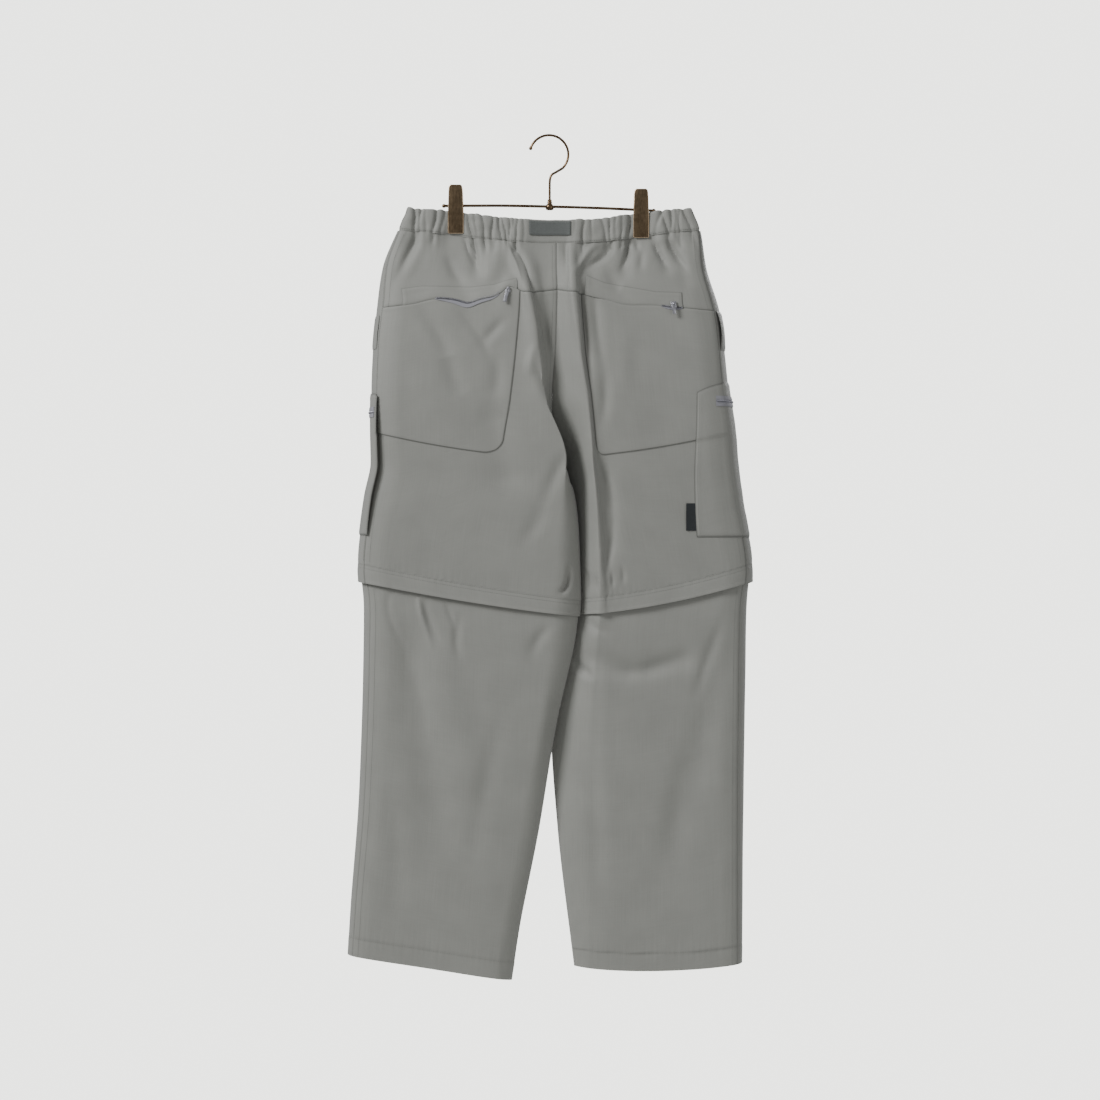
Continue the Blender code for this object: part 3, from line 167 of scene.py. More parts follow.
# Finer creases, each through three points, with its half-width and how far the cloth sinks
CREASES = {
    "back": (
        (-176, -128, -183, -150, -206, -196, 5.0, 2.2), (-162, -128, -178, -165, -196, -200, 8.0, -1.6),
        (-103, -134, -98, -152, -97, -176, 3.5, 2.6), (-113, -132, -108, -150, -98, -174, 3.2, 1.3),
        (-134, -160, -126, -182, -112, -198, 7.0, 1.4), (-86, -137, -84, -146, -84, -158, 3.0, 1.4),
        (-72, -138, -72, -146, -74, -156, 3.0, 1.0), (-45, -140, -45, -150, -46, -158, 3.0, 1.8),
        (-152, -128, -153, -136, -156, -146, 3.0, 1.2), (-62, -136, -40, -176, -22, -240, 10.0, -3.0),
        (-52, -140, -28, -184, -12, -244, 6.0, 4.2), (-12, -236, -4, -262, 4, -300, 7.0, 2.4),
        (7, -245, -2, -265, -8, -290, 9.0, 1.6), (30, -140, 31, -200, 42, -280, 6.5, -3.2),
        (41, -204, 47, -260, 54, -330, 6.0, 2.6), (21, -146, 24, -170, 27, -200, 4.0, 1.4),
        (60, -146, 46, -164, 34, -186, 5.0, -2.4), (79, -142, 74, -158, 50, -176, 5.0, 2.8),
        (84, -138, 83, -146, 82, -158, 3.0, 1.4), (105, -136, 105, -152, 97, -178, 4.0, 3.0),
        (97, -138, 97, -144, 94, -152, 3.0, 1.2), (115, -139, 117, -146, 119, -152, 3.2, 1.8),
        (124, -150, 122, -166, 121, -180, 6.0, 1.4), (136, -137, 146, -156, 156, -174, 3.8, 3.0),
        (157, -136, 168, -158, 184, -180, 4.6, 3.2), (170, -132, 174, -140, 178, -150, 3.0, 1.2),
        (190, -126, 196, -142, 203, -164, 4.6, 2.2), (78, -178, 86, -196, 96, -206, 10.0, 1.6),
        (-170, -232, -146, -264, -134, -296, 12.0, 1.8),
        (-134, -296, -126, -320, -112, -346, 14.0, 1.8), (-119, -234, -92, -268, -76, -300, 8.0, 1.3),
        (-60, -248, -74, -262, -86, -278, 8.0, 1.4), (-70, -290, -68, -320, -72, -350, 12.0, 1.8),
        (-18, -282, -24, -304, -22, -320, 7.0, -1.8), (-14, -312, -6, -336, 4, -362, 7.0, 2.6),
        (60, -214, 64, -260, 72, -312, 8.0, 1.8), (72, -312, 74, -350, 70, -384, 9.0, 1.8),
        (94, -250, 100, -300, 92, -360, 16.0, -1.0), (22, -425, 8, -452, -8, -492, 9.0, 1.8),
        (-8, -492, -18, -516, -34, -540, 12.0, 1.6), (65, -432, 76, -468, 84, -510, 8.0, 2.2),
        (84, -510, 78, -552, 74, -584, 7.0, 2.0), (26, -574, 24, -596, 14, -606, 3.6, 3.4),
        (50, -578, 54, -590, 52, -602, 3.4, 1.8), (62, -584, 63, -594, 62, -602, 3.0, 1.6),
        (82, -578, 84, -590, 83, -598, 3.4, 1.4), (96, -572, 98, -584, 97, -594, 3.4, 1.1),
        (-239, -548, -240, -556, -238, -566, 2.4, 1.6), (-209, -604, -212, -634, -192, -676, 6.0, 2.0),
        (-172, -614, -167, -640, -154, -676, 3.6, -1.8), (-164, -618, -158, -640, -146, -668, 5.0, 1.4),
        (-137, -622, -130, -636, -124, -652, 4.0, 1.2), (-118, -640, -122, -668, -117, -694, 7.0, 1.6),
        (0, -652, -14, -668, -24, -692, 8.0, 1.8), (-190, -676, -176, -720, -160, -790, 14.0, 1.4),
        (32, -688, 42, -706, 58, -716, 7.0, 3.0), (52, -640, 60, -652, 76, -660, 6.0, 1.4),
        (60, -700, 110, -712, 180, -690, 10.0, 1.4), (232, -640, 214, -684, 194, -742, 9.0, 1.8),
        (46, -800, 60, -900, 66, -1010, 16.0, 1.4), (180, -820, 168, -900, 174, -1000, 18.0, 1.0),
        (-60, -760, -84, -860, -100, -960, 16.0, 1.2), (-210, -880, -200, -960, -204, -1040, 16.0, 1.0),
    ),
    "front": (
        (-176, -132, -170, -160, -176, -200, 5.0, 2.4), (-130, -136, -126, -160, -132, -190, 4.0, 2.0),
        (-84, -138, -80, -156, -70, -184, 4.5, 2.4), (-46, -140, -44, -158, -40, -184, 4.0, 1.8),
        (40, -140, 42, -158, 36, -186, 4.0, 1.8), (80, -138, 76, -160, 66, -186, 4.5, 2.4),
        (122, -136, 124, -158, 132, -188, 4.0, 2.2), (168, -132, 172, -152, 182, -190, 5.0, 2.4),
        (-110, -200, -86, -280, -40, -350, 12.0, 2.0), (110, -200, 90, -280, 46, -350, 12.0, 2.0),
        (-30, -360, -70, -420, -130, -470, 10.0, 2.2), (50, -360, 90, -420, 150, -470, 10.0, 2.2),
        (-180, -610, -170, -660, -150, -730, 8.0, 1.8), (-120, -620, -116, -660, -100, -720, 7.0, 1.4),
        (150, -600, 146, -650, 130, -720, 8.0, 1.8), (200, -610, 190, -660, 176, -730, 7.0, 1.4),
    ),
}
CREASE_STEPS, CREASE_REACH = 14, 3
CREASE_GAIN, CREASE_NARROW = 1.7, 0.85
CREASE_ENDS, CREASE_TAPER = (0.06, 0.90), 0.8

# The cloth's slow unevenness: wavelength and height
RIPPLES = ((95.0, 1.1), (42.0, 0.42), (17.0, 0.10))
RIPPLE_SLANT, RIPPLE_LEAN, RIPPLE_STRETCH = 0.3, 0.2, 1.6
NOISE_CELLS = 64

# How the yoke seam wanders from the table's line: x, half-width and rise
SEAM_WAVES = {"left": ((-150, 24, 5.0), (-106, 13, -5.0), (-52, 13, 11.0)), "right": ((98, 26, -4.5),)}
SEAM_WAVE_REACH = 0.55

# Seams: the groove, the allowance under the cloth beside it, and the yoke's lap over the back
SEAM_GROOVE, SEAM_GROOVE_WIDTH = 0.55, 1.1
ALLOWANCE, ALLOWANCE_START, ALLOWANCE_END = 0.32, (0.8, 2.2), (8.5, 10.5)
FRONT_SEAM_SHARE, CENTRE_SEAM_END = 0.5, CROTCH + 0.5
YOKE_GROOVE_FROM, YOKE_LAP, YOKE_LAP_WIDTH = -4, 0.35, 0.4

# Puckers along the stitched seams: pitch, height and reach, and how they drift along a seam
PUCKERS = {
    "side": (8.0, 0.16, 7.0), "knee": (8.5, 0.22, 9.0), "flap": (8.5, 0.22, 8.0),
    "lower side": (9.0, 0.16, 7.0), "hem": (8.0, 0.2, 10.0),
}
PUCKER_DRIFTS = ((0.6, 23.0), (0.3, 7.3))

# Gathers of the waistband: x at its top and bottom edges, half-width, depth
BACK_GATHERS = (
    (-178.5, -178.0, 2.6, 3.6), (-170.2, -171.6, 2.2, 2.2), (-163.0, -164.0, 2.4, 1.2),
    (-147.9, -154.5, 2.6, 3.0), (-138.1, -144.7, 2.2, 2.4), (-108.3, -102.4, 2.6, 3.6),
    (-98.0, -96.0, 2.2, 1.4), (-88.4, -85.1, 2.4, 3.0), (-74.3, -75.8, 2.2, 2.4),
    (-66.9, -62.8, 2.2, 2.8), (-61.2, -56.1, 1.9, 2.6), (-52.0, -52.0, 1.7, 1.8),
    (-47.1, -47.5, 1.6, 1.6), (-40.4, -44.6, 2.2, 2.6), (-33.0, -34.0, 2.2, 1.2),
    (34.0, 32.0, 2.0, 1.2), (46.6, 43.9, 2.3, 2.6), (57.0, 56.0, 2.2, 1.2), (70.4, 76.2, 2.6, 3.2),
    (79.7, 82.2, 2.2, 2.2), (89.0, 88.0, 2.0, 1.2), (98.3, 95.0, 2.4, 2.2), (108.5, 105.1, 2.6, 3.4),
    (149.2, 141.5, 2.6, 3.2), (150.8, 157.6, 2.5, 3.2), (162.8, 161.9, 2.2, 2.4),
    (168.9, 169.0, 1.8, 1.6), (172.9, 173.5, 1.8, 1.6), (178.1, 188.5, 2.6, 3.4),
)
FRONT_GATHERS = (
    (-180, -176, 2.6, 3.0), (-168, -170, 2.4, 2.0), (-158, -155, 2.2, 2.4), (-147, -149, 2.2, 1.8),
    (-104, -100, 2.6, 3.0), (-92, -93, 2.4, 2.0), (-80, -84, 2.4, 2.8), (-68, -66, 2.2, 2.0),
    (-55, -58, 2.4, 2.6), (-42, -40, 2.2, 2.2), (-29, -31, 2.4, 2.4), (-15, -13, 2.2, 1.8),
    (2, 0, 2.4, 2.2), (16, 18, 2.2, 1.8), (30, 27, 2.4, 2.6), (44, 46, 2.2, 2.0),
    (57, 54, 2.4, 2.6), (69, 71, 2.2, 2.0), (82, 80, 2.4, 2.8), (95, 99, 2.2, 2.2),
    (148, 146, 2.6, 2.8), (158, 160, 2.2, 2.0), (169, 167, 2.4, 2.4), (181, 184, 2.4, 3.0),
)

# How the gathers sway and vary along their length, and run on into the yoke as they fade
GATHER_PUFF, GATHER_GAIN = 1.3, 1.25
GATHER_SWAY, GATHER_HEIGHT, GATHER_POWER = (0.8, 5, 1.7), (0.75, 0.25, 3.1, 2.3), 1.5
GATHER_RUN, GATHER_RUN_SHARE = 13.0, 0.75

# The band: a top, foot or groove is its height, where it lies if not at the edge, and its width
CLIP_CALM, WEBBING_CALM = 13.0, 31.0
BAND_ROWS, BAND_HEIGHT, BAND_STEP, BAND_PROBE = 22, 33.0, 1.35, 0.5
BAND_NOISE, BAND_NOISE_CELL = 0.5, (9.0, 3.0)
BAND_TOP, BAND_GROOVE, BAND_FOOT = (0.5, 1.6), (0.3, 31.0, 1.0), (1.1, 1.5)
BAND_EDGE_WAVE, BAND_EDGE_CELL, BAND_DIP = 0.8, 8.0, 0.25
BAND_MOST, BAND_LEAST, BAND_STITCH_ROWS = 1.6, -3.0, 1.3

# The webbing: a grid is its points across and down
WEBBING_CENTRE, WEBBING_HALF = 1.3, 27.7
WEBBING_ROWS = (0.07, 0.66)
WEBBING_GRID, WEBBING_HOLD = (60, 26), 0.85
WEBBING_LIFT, WEBBING_PUFF, WEBBING_EDGE = 0.3, 0.5, 0.9
RIB_HEIGHT, RIB_PITCH = 0.12, 2.2

# Clip hanger
WIRE_RADIUS, TIP_RADIUS = 1.7, 2.5
HOOK_STEP, STEM_STEPS = 1.6, 50
BAR_STEP, BAR_FROM_ENDS = 4.0, (8, 7)
WIRE_ROUNDING = 5
HOOK_RADIUS, HOOK_CENTRE = 25.7, -24.0
HOOK_START, HOOK_END = math.radians(167), math.radians(-48)
STEM_POINTS = ((9.5, -47.4), (4.0, -50.8), (1.6, -55.6), (0.9, -64.0), (0.9, -77.0), (0.9, -90.1))
BEAD_STEPS = (0.02, 0.08, 0.2, 0.35, 0.55, 0.75, 0.95, 1.15, 1.35, 1.55, 1.7, 1.85)
BAR_RADIUS, BAR_END_RADIUS = 1.9, 2.7
BAR_X = (-142.5, -70.0, 0.9, 70.0, 142.0)
BAR_Z = (-92.4, -92.0, -93.3, -95.4, -98.8)
FERRULE_PROFILE = (
    (0.0, -84.0), (2.6, -84.0), (2.9, -84.4), (2.9, -86.6), (3.3, -87.0), (3.4, -87.8), (3.0, -88.4),
    (3.1, -89.4), (4.6, -91.0), (5.5, -92.6), (5.7, -94.0), (5.6, -95.4), (4.9, -97.2), (3.4, -98.0),
    (0.0, -98.2),
)
FERRULE_STEPS = 48
FERRULE_SHARP, CLIP_SHARP, CLOTH_SHARP, WELD = 30.0, 50.0, 40.0, 1e-6
ROUNDED_FROM, FLAT_UNDER, ROUNDING_STEPS = 35, 2, 2
JAW_ROUNDING, SPRING_ROUNDING, SLIDER_ROUNDING, PULL_ROUNDING = 0.9, 0.3, 0.35, 0.3
CLIP_X = {"left": -124.0, "right": 122.4}
CLIP_GRIP_Z, CLIP_LONGER = -112.0, 2.4
PINCH_DEPTH, PINCH_WIDTH, PINCH_REACH = 2.3, 21.0, 0.7

# The knee: a zip hangs inside the flap, and the lower leg starts under it
FLAP_LEVELS = (float(KNEE), KNEE + 0.4)
FLAP_FLARE = 2.8
FLAP_STITCHES, FLAP_SINKS, FLAP_GRID_ROWS = (1.6, 6.2), (0.35, 0.3), 15
FLAP_LIP, FLAP_LIP_AT, FLAP_LIP_WIDTH = 0.35, 0.93, 0.06
FLAP_WAVE, FLAP_WAVE_CELL = 0.8, (24.0, 60.0)
ZIP_LEVELS, ZIP_GRID_ROWS = (KNEE + 0.04, KNEE + 0.24), 6
ZIP_INSET = -1.6
TUCK_START = KNEE + 0.26
TUCK = -2.4
CALM_FROM, CALM_TO = 0.70, 0.95
# The hem's stitch line and the lower leg's seams get shade painted into the cloth's colour
HEM_HEIGHT, HEM_SHADE, HEM_SHADE_WIDTH, LEG_SHADE = 24.0, 0.3, 1.3, 0.25
HEM_GROOVE, HEM_GROOVE_WIDTH, HEM_RAISE = 0.4, 1.2, 0.25

# Turned and stitched edges of the pieces laid on the cloth
EDGE_STEP = 0.7
EDGE_ROUND, EDGE_ROUND_WIDTH = 0.45, 0.7
EDGE_SINK, STITCH_GROOVE = 0.28, 0.9
EDGE_PUFF, EDGE_PUFF_AT, EDGE_PUFF_WIDTH = 0.25, 3.5, 2.2

# Back pocket with its placket and its zip: a cell is the size of an unevenness across and down
CORNER_RADIUS = 20.0
POUCH_GRID, POUCH_FROM, POUCH_BELOW_SEAM = (78, 92), 0.004, 0.25
POUCH_RIPPLE, POUCH_RIPPLE_CELL, POUCH_RIPPLE_START = 0.35, (30.0, 44.0), (3, 20)
POUCH_EDGE, POUCH_EDGE_WIDTH, POUCH_SINK = 0.35, 2.5, 0.3
PLACKET_GRID, PLACKET_EDGES = (90, 14), (0.006, 0.05)
PLACKET_STITCH, PLACKET_PUFF, PLACKET_SHADE = 1.6, 0.15, 0.5
PLACKET_LIFT, PLACKET_LIFT_POWER = 0.1, 2.2
PLACKET_ABOVE_SEAM = 0.4
PLACKET_TOP = {
    "left": (
        (-194.0, -205.0), (-166.0, -201.5), (-100.0, -202.7), (-72.0, -199.5), (-56.0, -194.7),
        (-42.0, -191.5),
    ),
    "right": ((44.0, -186.3), (72.0, -197.4), (93.0, -200.8), (141.0, -209.0), (177.0, -210.0)),
}
PLACKET_X = {"left": (-194.0, -42.0), "right": (177.0, 47.0)}
PLACKET_LIFTS = {
    "left": ((-84, 34, 2.6), (-170, 26, 0.4)),
    "right": ((58, 10, 1.8), (160, 10, 0.9), (112, 30, 0.3)),
}
BACK_TAPE_GRID, BACK_TAPE_START, BACK_TAPE_LEAST = (44, 7), 0.2, 1.6
BACK_TEETH_ROW, BACK_TEETH_LIFT = 2.0, 0.25
BACK_TAPE_X = {"left": (-150.0, -60.0), "right": (176.0, 148.0)}
BACK_TAPE_DEPTH = {"left": 6.5, "right": 3.5}

# Hand pocket's welt
WELT_Z = {"left": (-240.0, -284.0), "right": (-234.0, -286.0)}
WELT_PLACES = (-0.16, -0.012)
WELT_LIFT = {"left": 0.6, "right": 4.6}
WELT_GRID, WELT_SWELL, WELT_STITCH, WELT_PUFF = (26, 40), (0.8, 2.0), 1.8, 0.1

# Cargo pocket with its zip: the tape's dip and rims are height, place if not in the middle, and width
CARGO = {
    "left": dict(top=-342.0, drop=4.0, bottom=-530.0, place=0.012, x=None, fold=7.5, puff=1.5),
    "right": dict(top=-328.0, drop=14.5, bottom=-533.0, place=None, x=194.6, fold=0.0, puff=2.6),
}
CARGO_FRONT_PLACE = -0.40
CARGO_ZIP_DROP, CARGO_ZIP_HEIGHT = 19.0, 13.5
CARGO_ZIP_ENDS = {"left": (0.10, 0.96), "right": (0.10, 0.79)}
CARGO_GRID, CARGO_TOP_POWER, CARGO_CLEAR = (84, 74), 2.2, 0.2
CARGO_PUFF_POWER, CARGO_FOLD_POWERS, CARGO_FOLD_SPAN = 0.6, (6, 0.5), (0.04, 0.92)
CARGO_EDGE_STITCH, CARGO_SIDE_STITCHES, CARGO_END_STITCH, CARGO_SHADE = 1.8, (0.7, 2.6), 0.8, 0.8
CARGO_TAPE_GRID, CARGO_TAPE_DIP, CARGO_TAPE_RIM = (60, 9), (0.3, 1.6), (0.25, 3.4, 1.2)
CARGO_TEETH_ROW, CARGO_TEETH_LIFT = 4.0, 0.1

# The woven tab
LABEL_X, LABEL_Z = (180.6, 194.4), (-488.5, -524.5)
LABEL_GRID, LABEL_CURL, LABEL_WAVE = (18, 30), 1.2, (2.4, 0.6)
LABEL_EDGE, LABEL_EDGE_WIDTH = 0.15, 0.6

# Stitches and zip teeth, and how far from a seam or how many grid rows from an edge they run
STITCH_PITCH, STITCH_LENGTH, STITCH_THICK = 3.0, 2.3, 0.42
STITCH_LIFT, POCKET_STITCH_LIFT, BAND_STITCH_LIFT = CLOTH / 2 + 0.12, 0.02, 0.12
SEAT_STITCHES, CENTRE_STITCH, CENTRE_STITCH_ROWS, YOKE_STITCH_ROWS = (8.5, -1.6), 6.0, 4, 0.8
TOOTH_PITCH, TOOTH_LENGTH, TOOTH_THICK = 1.5, 3.4, 0.9
BEAD_FACES = (6, 4)

# The smallest cut that a strip of cloth is given, in metres, and the least share of it that it covers
LEAST_CUT, LEAST_SHARE = 0.0101, 0.31

# Cloth finishes: name, colour, threads to a metre, roughness, thread height in metres, sheen, and
# how strongly the threads, the uneven yarns and the clouding show
FABRICS = {
    "nylon": ("grey nylon", (0.262, 0.265, 0.246), 2200.0, 0.58, 0.00006, 0.25, 0.06, 0.05, 0.04),
    "webbing": ("ribbed webbing", (0.118, 0.128, 0.124), 900.0, 0.7, 0.00025, 0.1, 0.22, 0.05, 0.03),
    "zip_tape": ("zip tape", (0.30, 0.30, 0.335), 1300.0, 0.65, 0.00015, 0.1, 0.15, 0.05, 0.04),
    "label": ("woven tab", (0.022, 0.026, 0.029), 1500.0, 0.7, 0.00012, 0.1, 0.2, 0.05, 0.04),
    "thread": ("sewing thread", (0.20, 0.203, 0.19), 1500.0, 0.6, 0.00002, 0.1, 0.06, 0.05, 0.04),
}
WEAVE_RELIEF, CLOTH_SPECULAR, SHEEN_ROUGHNESS, SHEEN_TINT = 0.6, 0.35, 0.5, (0.9, 0.92, 0.95, 1.0)
THREAD_CROWN, THREAD_TONES, CLOUD_GLOSS, SLUB_HEIGHT = 0.25, (-1.0, 0.6), 0.03, 0.5
YARN_FINE, YARN_LONG, YARN_DETAIL, WARP_SWING, WEFT_SWING = 900.0, 14.0, 3.0, 0.6, 0.4
CLOUD_SCALE, CLOUD_DETAIL, NOISE_RANGE = 22.0, 3.0, (0.3, 0.7)

# Metal finishes: name, colour, colour where worn, roughness, grime, and the scale of the worn patches
METALS = {
    "tooth": ("zip coil", (0.30, 0.30, 0.34), (0.36, 0.36, 0.40), 0.45, 0.1, 260.0),
    "zip_metal": ("zip enamel", (0.42, 0.42, 0.47), (0.6, 0.6, 0.64), 0.3, 0.15, 260.0),
    "clip_brass": ("antique brass", (0.15, 0.108, 0.066), (0.20, 0.145, 0.092), 0.38, 0.25, 260.0),
    "clip_edge": ("worn brass", (0.85, 0.62, 0.42), (0.9, 0.72, 0.52), 0.35, 0.1, 260.0),
    "hanger_wire": ("dark brass wire", (0.13, 0.086, 0.052), (0.24, 0.16, 0.09), 0.24, 0.15, 40.0),
}
PATCH_DETAIL, PATCH_ROUGHNESS, PATCH_RANGE = 4.0, 0.6, (0.35, 0.7)
BRUSH_SCALE, BRUSH_DETAIL, BRUSH_GLOSS = (700.0, 700.0, 120.0), 3.0, 0.12
BRUSH_RELIEF, BRUSH_DEPTH = 0.1, 0.00003

# Studio, in metres: lights as name, place, aim, size and watts
LIGHTS = (
    ("key", (-2.9, -2.0, 1.9), (0.0, 0.0, -0.45), 1.4, 175.0),
    ("fill", (2.6, -2.8, -0.2), (0.0, 0.0, -0.6), 2.0, 22.0),
    ("rear", (1.6, 2.8, 1.1), (0.0, 0.0, -0.5), 1.8, 70.0),
)
ROOM_COLOUR, ROOM_LIGHT = (0.92, 0.925, 0.91, 1.0), 0.36
BACKDROP_COLOUR, BACKDROP_LIGHT = (0.785, 0.790, 0.755, 1.0), 3.9
FLOOR_SIDES, FLOOR_RADIUS, FLOOR_PLACE, FLOOR_FADE = 96, 1.45, (0.0, 0.0, -1.62), (0.8, 1.42)
FLOOR_COLOUR, FLOOR_ROUGHNESS, FLOOR_GRAIN, FLOOR_GRAIN_SCALE = (0.80, 0.80, 0.78), 0.9, 0.985, 40.0


# Curves

def interpolated(table, levels):
    """The table's values at levels that may lie between its rows: a dict of arrays."""
    keys = sorted(table)
    values = smooth_curve(keys, [table[key] for key in keys], levels)
    return dict(zip(COLUMNS, values.T))


def smooth_curve(knots, values, at):
    """Curves through the values, one for each column, that never swing past them."""
    knots, values, at = (np.asarray(v, float) for v in (knots, values, at))
    steps = np.diff(knots)[:, None]
    slopes = np.diff(values, axis=0) / steps
    before, after = slopes[:-1], slopes[1:]
    same_way = before * after > 0
    total = np.where(same_way, before + after, 1.0)
    turns = np.zeros_like(values)
    turns[1:-1] = np.where(same_way, 2 * before * after / total, 0.0)
    turns[0], turns[-1] = slopes[0], slopes[-1]
    i = np.clip(np.searchsorted(knots, at, side="right") - 1, 0, len(steps) - 1)
    t = ((at - knots[i]) / steps[i, 0])[:, None]
    return (
        (2 * t**3 - 3 * t**2 + 1) * values[i]
        + (t**3 - 2 * t**2 + t) * steps[i] * turns[i]
        + (3 * t**2 - 2 * t**3) * values[i + 1]
        + (t**3 - t**2) * steps[i] * turns[i + 1]
    )


def ease(start, end, value):
    """0 before start, 1 past end, and smooth between."""
    t = np.clip((np.asarray(value, float) - start) / (end - start), 0.0, 1.0)
    return t * t * (3 - 2 * t)


def bump(value, centre, width):
    return np.exp(-(((value - centre) / width) ** 2))


# The cloth's middle surface

def section_rows(side, levels):
    """The table's values at each level, with the centre seam's shared by both legs."""
    row = interpolated(TABLES[side], levels)
    top_rows = {level: LEFT_ROWS[level] for level in range(CROTCH + 1)}
    shared = interpolated(top_rows, np.minimum(levels, CROTCH))
    for name in CENTRE_COLUMNS:
        row[name] = np.where(levels <= CROTCH, shared[name], row[name])
    row["y_front_centre"] = np.where(levels >= CROTCH, row["y_centre"], row["y_front_centre"])
    return row


def section_lines(side, levels):
    """Where the lengthwise lines cross each level: arrays of levels by lines by (x, y)."""
    row = section_rows(side, levels)
    inward = 1 if side == "left" else -1
    slim = np.minimum(1.0, np.abs(row["y_flat"]) / FULL_DEPTH)
    near, turn = SIDE_DEPTH * slim, SIDE_TURN * slim
    x_side, x_centre = row["x_side"], row["x_centre"]
    width = x_side - x_centre
    back = [
        (x_side + inward * near, row["y_flat"] * SEAM_SHARE),
        (x_side + inward * (near + turn), row["y_flat"] * TURN_SHARE),
        (row["x_pocket"], row["y_flat"]),
        (row["x_ridge"], row["y_ridge"]),
        (row["x_valley"], row["y_valley"]),
        (x_centre, row["y_centre"]),
    ]
    front = [
        (x_centre, row["y_front_centre"]),
        (x_centre + INNER_SHARE * width, row["y_front_inner"]),
        (x_centre + MIDDLE_SHARE * width, row["y_front"]),
        (x_side + inward * (near + turn) * FRONT_TURN, row["y_front"] * FRONT_TURN_DEPTH),
        (x_side, np.zeros_like(x_side)),
        back[0],
    ]
    return row, np.array(back).transpose(2, 0, 1), np.array(front).transpose(2, 0, 1)


def neighbours(side, levels, back, front):
    """What the back and the front of each section run on into past the centre seams."""
    _, other_back, other_front = section_lines("right" if side == "left" else "left", levels)
    above = (levels < CROTCH)[:, None]
    return np.where(above, other_back[:, -2], front[:, 1]), np.where(above, other_front[:, 1], back[:, -2])


def along_sections(knots, lines, places):
    """Points on each section's smooth line at the places: levels by places by (x, y)."""
    levels = len(lines)
    values = lines.transpose(1, 0, 2).reshape(len(knots), -1)
    return smooth_curve(knots, values, places).reshape(len(places), levels, 2).transpose(1, 0, 2)


def main_fold_sink(face, x, z):
    """How far the main folds sink the cloth, in millimetres."""
    sink = np.zeros_like(x)
    for x0, z0, x1, z1, width, depth in FOLDS[face]:
        run_x, run_z = x1 - x0, z1 - z0
        along = ((x - x0) * run_x + (z - z0) * run_z) / (run_x**2 + run_z**2)
        away = np.hypot(x - x0 - run_x * along, z - z0 - run_z * along)
        taper = bump(np.maximum(0.0, np.abs(along - 0.5) - FOLD_CORE), 0, FOLD_FADE)
        sink += depth * taper * bump(away, 0, width)
    return sink


def seam_fade(places):
    """0 at the seams and 1 away from them, so that no fold or crease breaks a seam."""
    return np.minimum(1.0, FOLD_EDGE_SLOPE * np.minimum(np.abs(places), 1 - np.abs(places)))[None]


def middle_grid(side, places, levels):
    """Points of the cloth's middle surface, in millimetres: a row for each level."""
    row, back, front = section_lines(side, levels)
    past_back, past_front = neighbours(side, levels, back, front)
    back_line = np.concatenate((front[:, -2:-1], back, past_back[:, None]), axis=1)
    front_line = np.concatenate((past_front[:, None], front, back[:, 1:2]), axis=1)
    xy = np.where(
        (places >= 0)[None, :, None],
        along_sections((-PAST_SIDE, *BACK_KNOTS, PAST_CENTRE), back_line, places),
        along_sections((-PAST_CENTRE, *FRONT_KNOTS, PAST_SIDE_FRONT), front_line, places),
    )
    x, y = xy[..., 0], xy[..., 1].copy()
    row = {name: values[:, None] for name, values in row.items()}
    level = levels[:, None]
    share = np.clip((x - row["x_side"]) / (row["x_centre"] - row["x_side"]), 0.0, 1.0)
    share = np.where(np.abs(places)[None] < 1, share, 1.0)
    bend = np.clip(HIP - level, 0.0, 1.0)
    eased = share + bend * (ease(0, 1, share) - share)
    z = row["z_side"] + (row["z_centre"] - row["z_side"]) * eased - 4 * row["sag"] * share * (1 - share)
    start = ease(WAIST, WAIST + FOLD_START, level)
    folds = np.where(places >= 0, main_fold_sink("back", x, z), -main_fold_sink("front", x, z))
    y += folds * seam_fade(places) * start
    reach = 1 - ease(WAIST, WAIST + PINCH_REACH, level)
    for clip in CLIP_X.values():
        pinch = reach * np.exp(-(((x - clip) / PINCH_WIDTH) ** 4))
        y = np.copysign(PINCH_DEPTH + (np.abs(y) - PINCH_DEPTH) * (1 - pinch), y)
    for centre, width, rise in SEAM_WAVES[side]:
        z += rise * bump(x, centre, width) * bump(level, YOKE, SEAM_WAVE_REACH) * (places >= 0)
    return np.stack((x, y, z), axis=-1)


def spaced(low, high, step, length_at, samples=COARSE):
    """Values from low to high whose places along a line are about a step apart."""
    fine = np.linspace(low, high, samples)
    length = length_at(fine)
    count = max(1, round((length[-1] - length[0]) / step))
    return np.interp(np.linspace(length[0], length[-1], count + 1), length, fine)


def spaced_levels(first, last, step):
    def fallen(levels):
        row = section_rows("left", levels)
        return -(row["z_side"] + row["z_centre"]) / 2

    made = spaced(first, last, step, fallen)
    made[0], made[-1] = first, last
    return made


def with_seam_levels(levels, seam):
    """The levels with close ones on both sides of a seam, so that its groove is crisp."""
    offsets = np.array(SEAM_STEPS) * SEAM_LEVELS_PER_MM
    kept = levels[np.abs(levels - seam) > offsets[-1] * SEAM_CLEAR]
    return np.sort(np.concatenate((kept, [seam], seam - offsets, seam + offsets)))


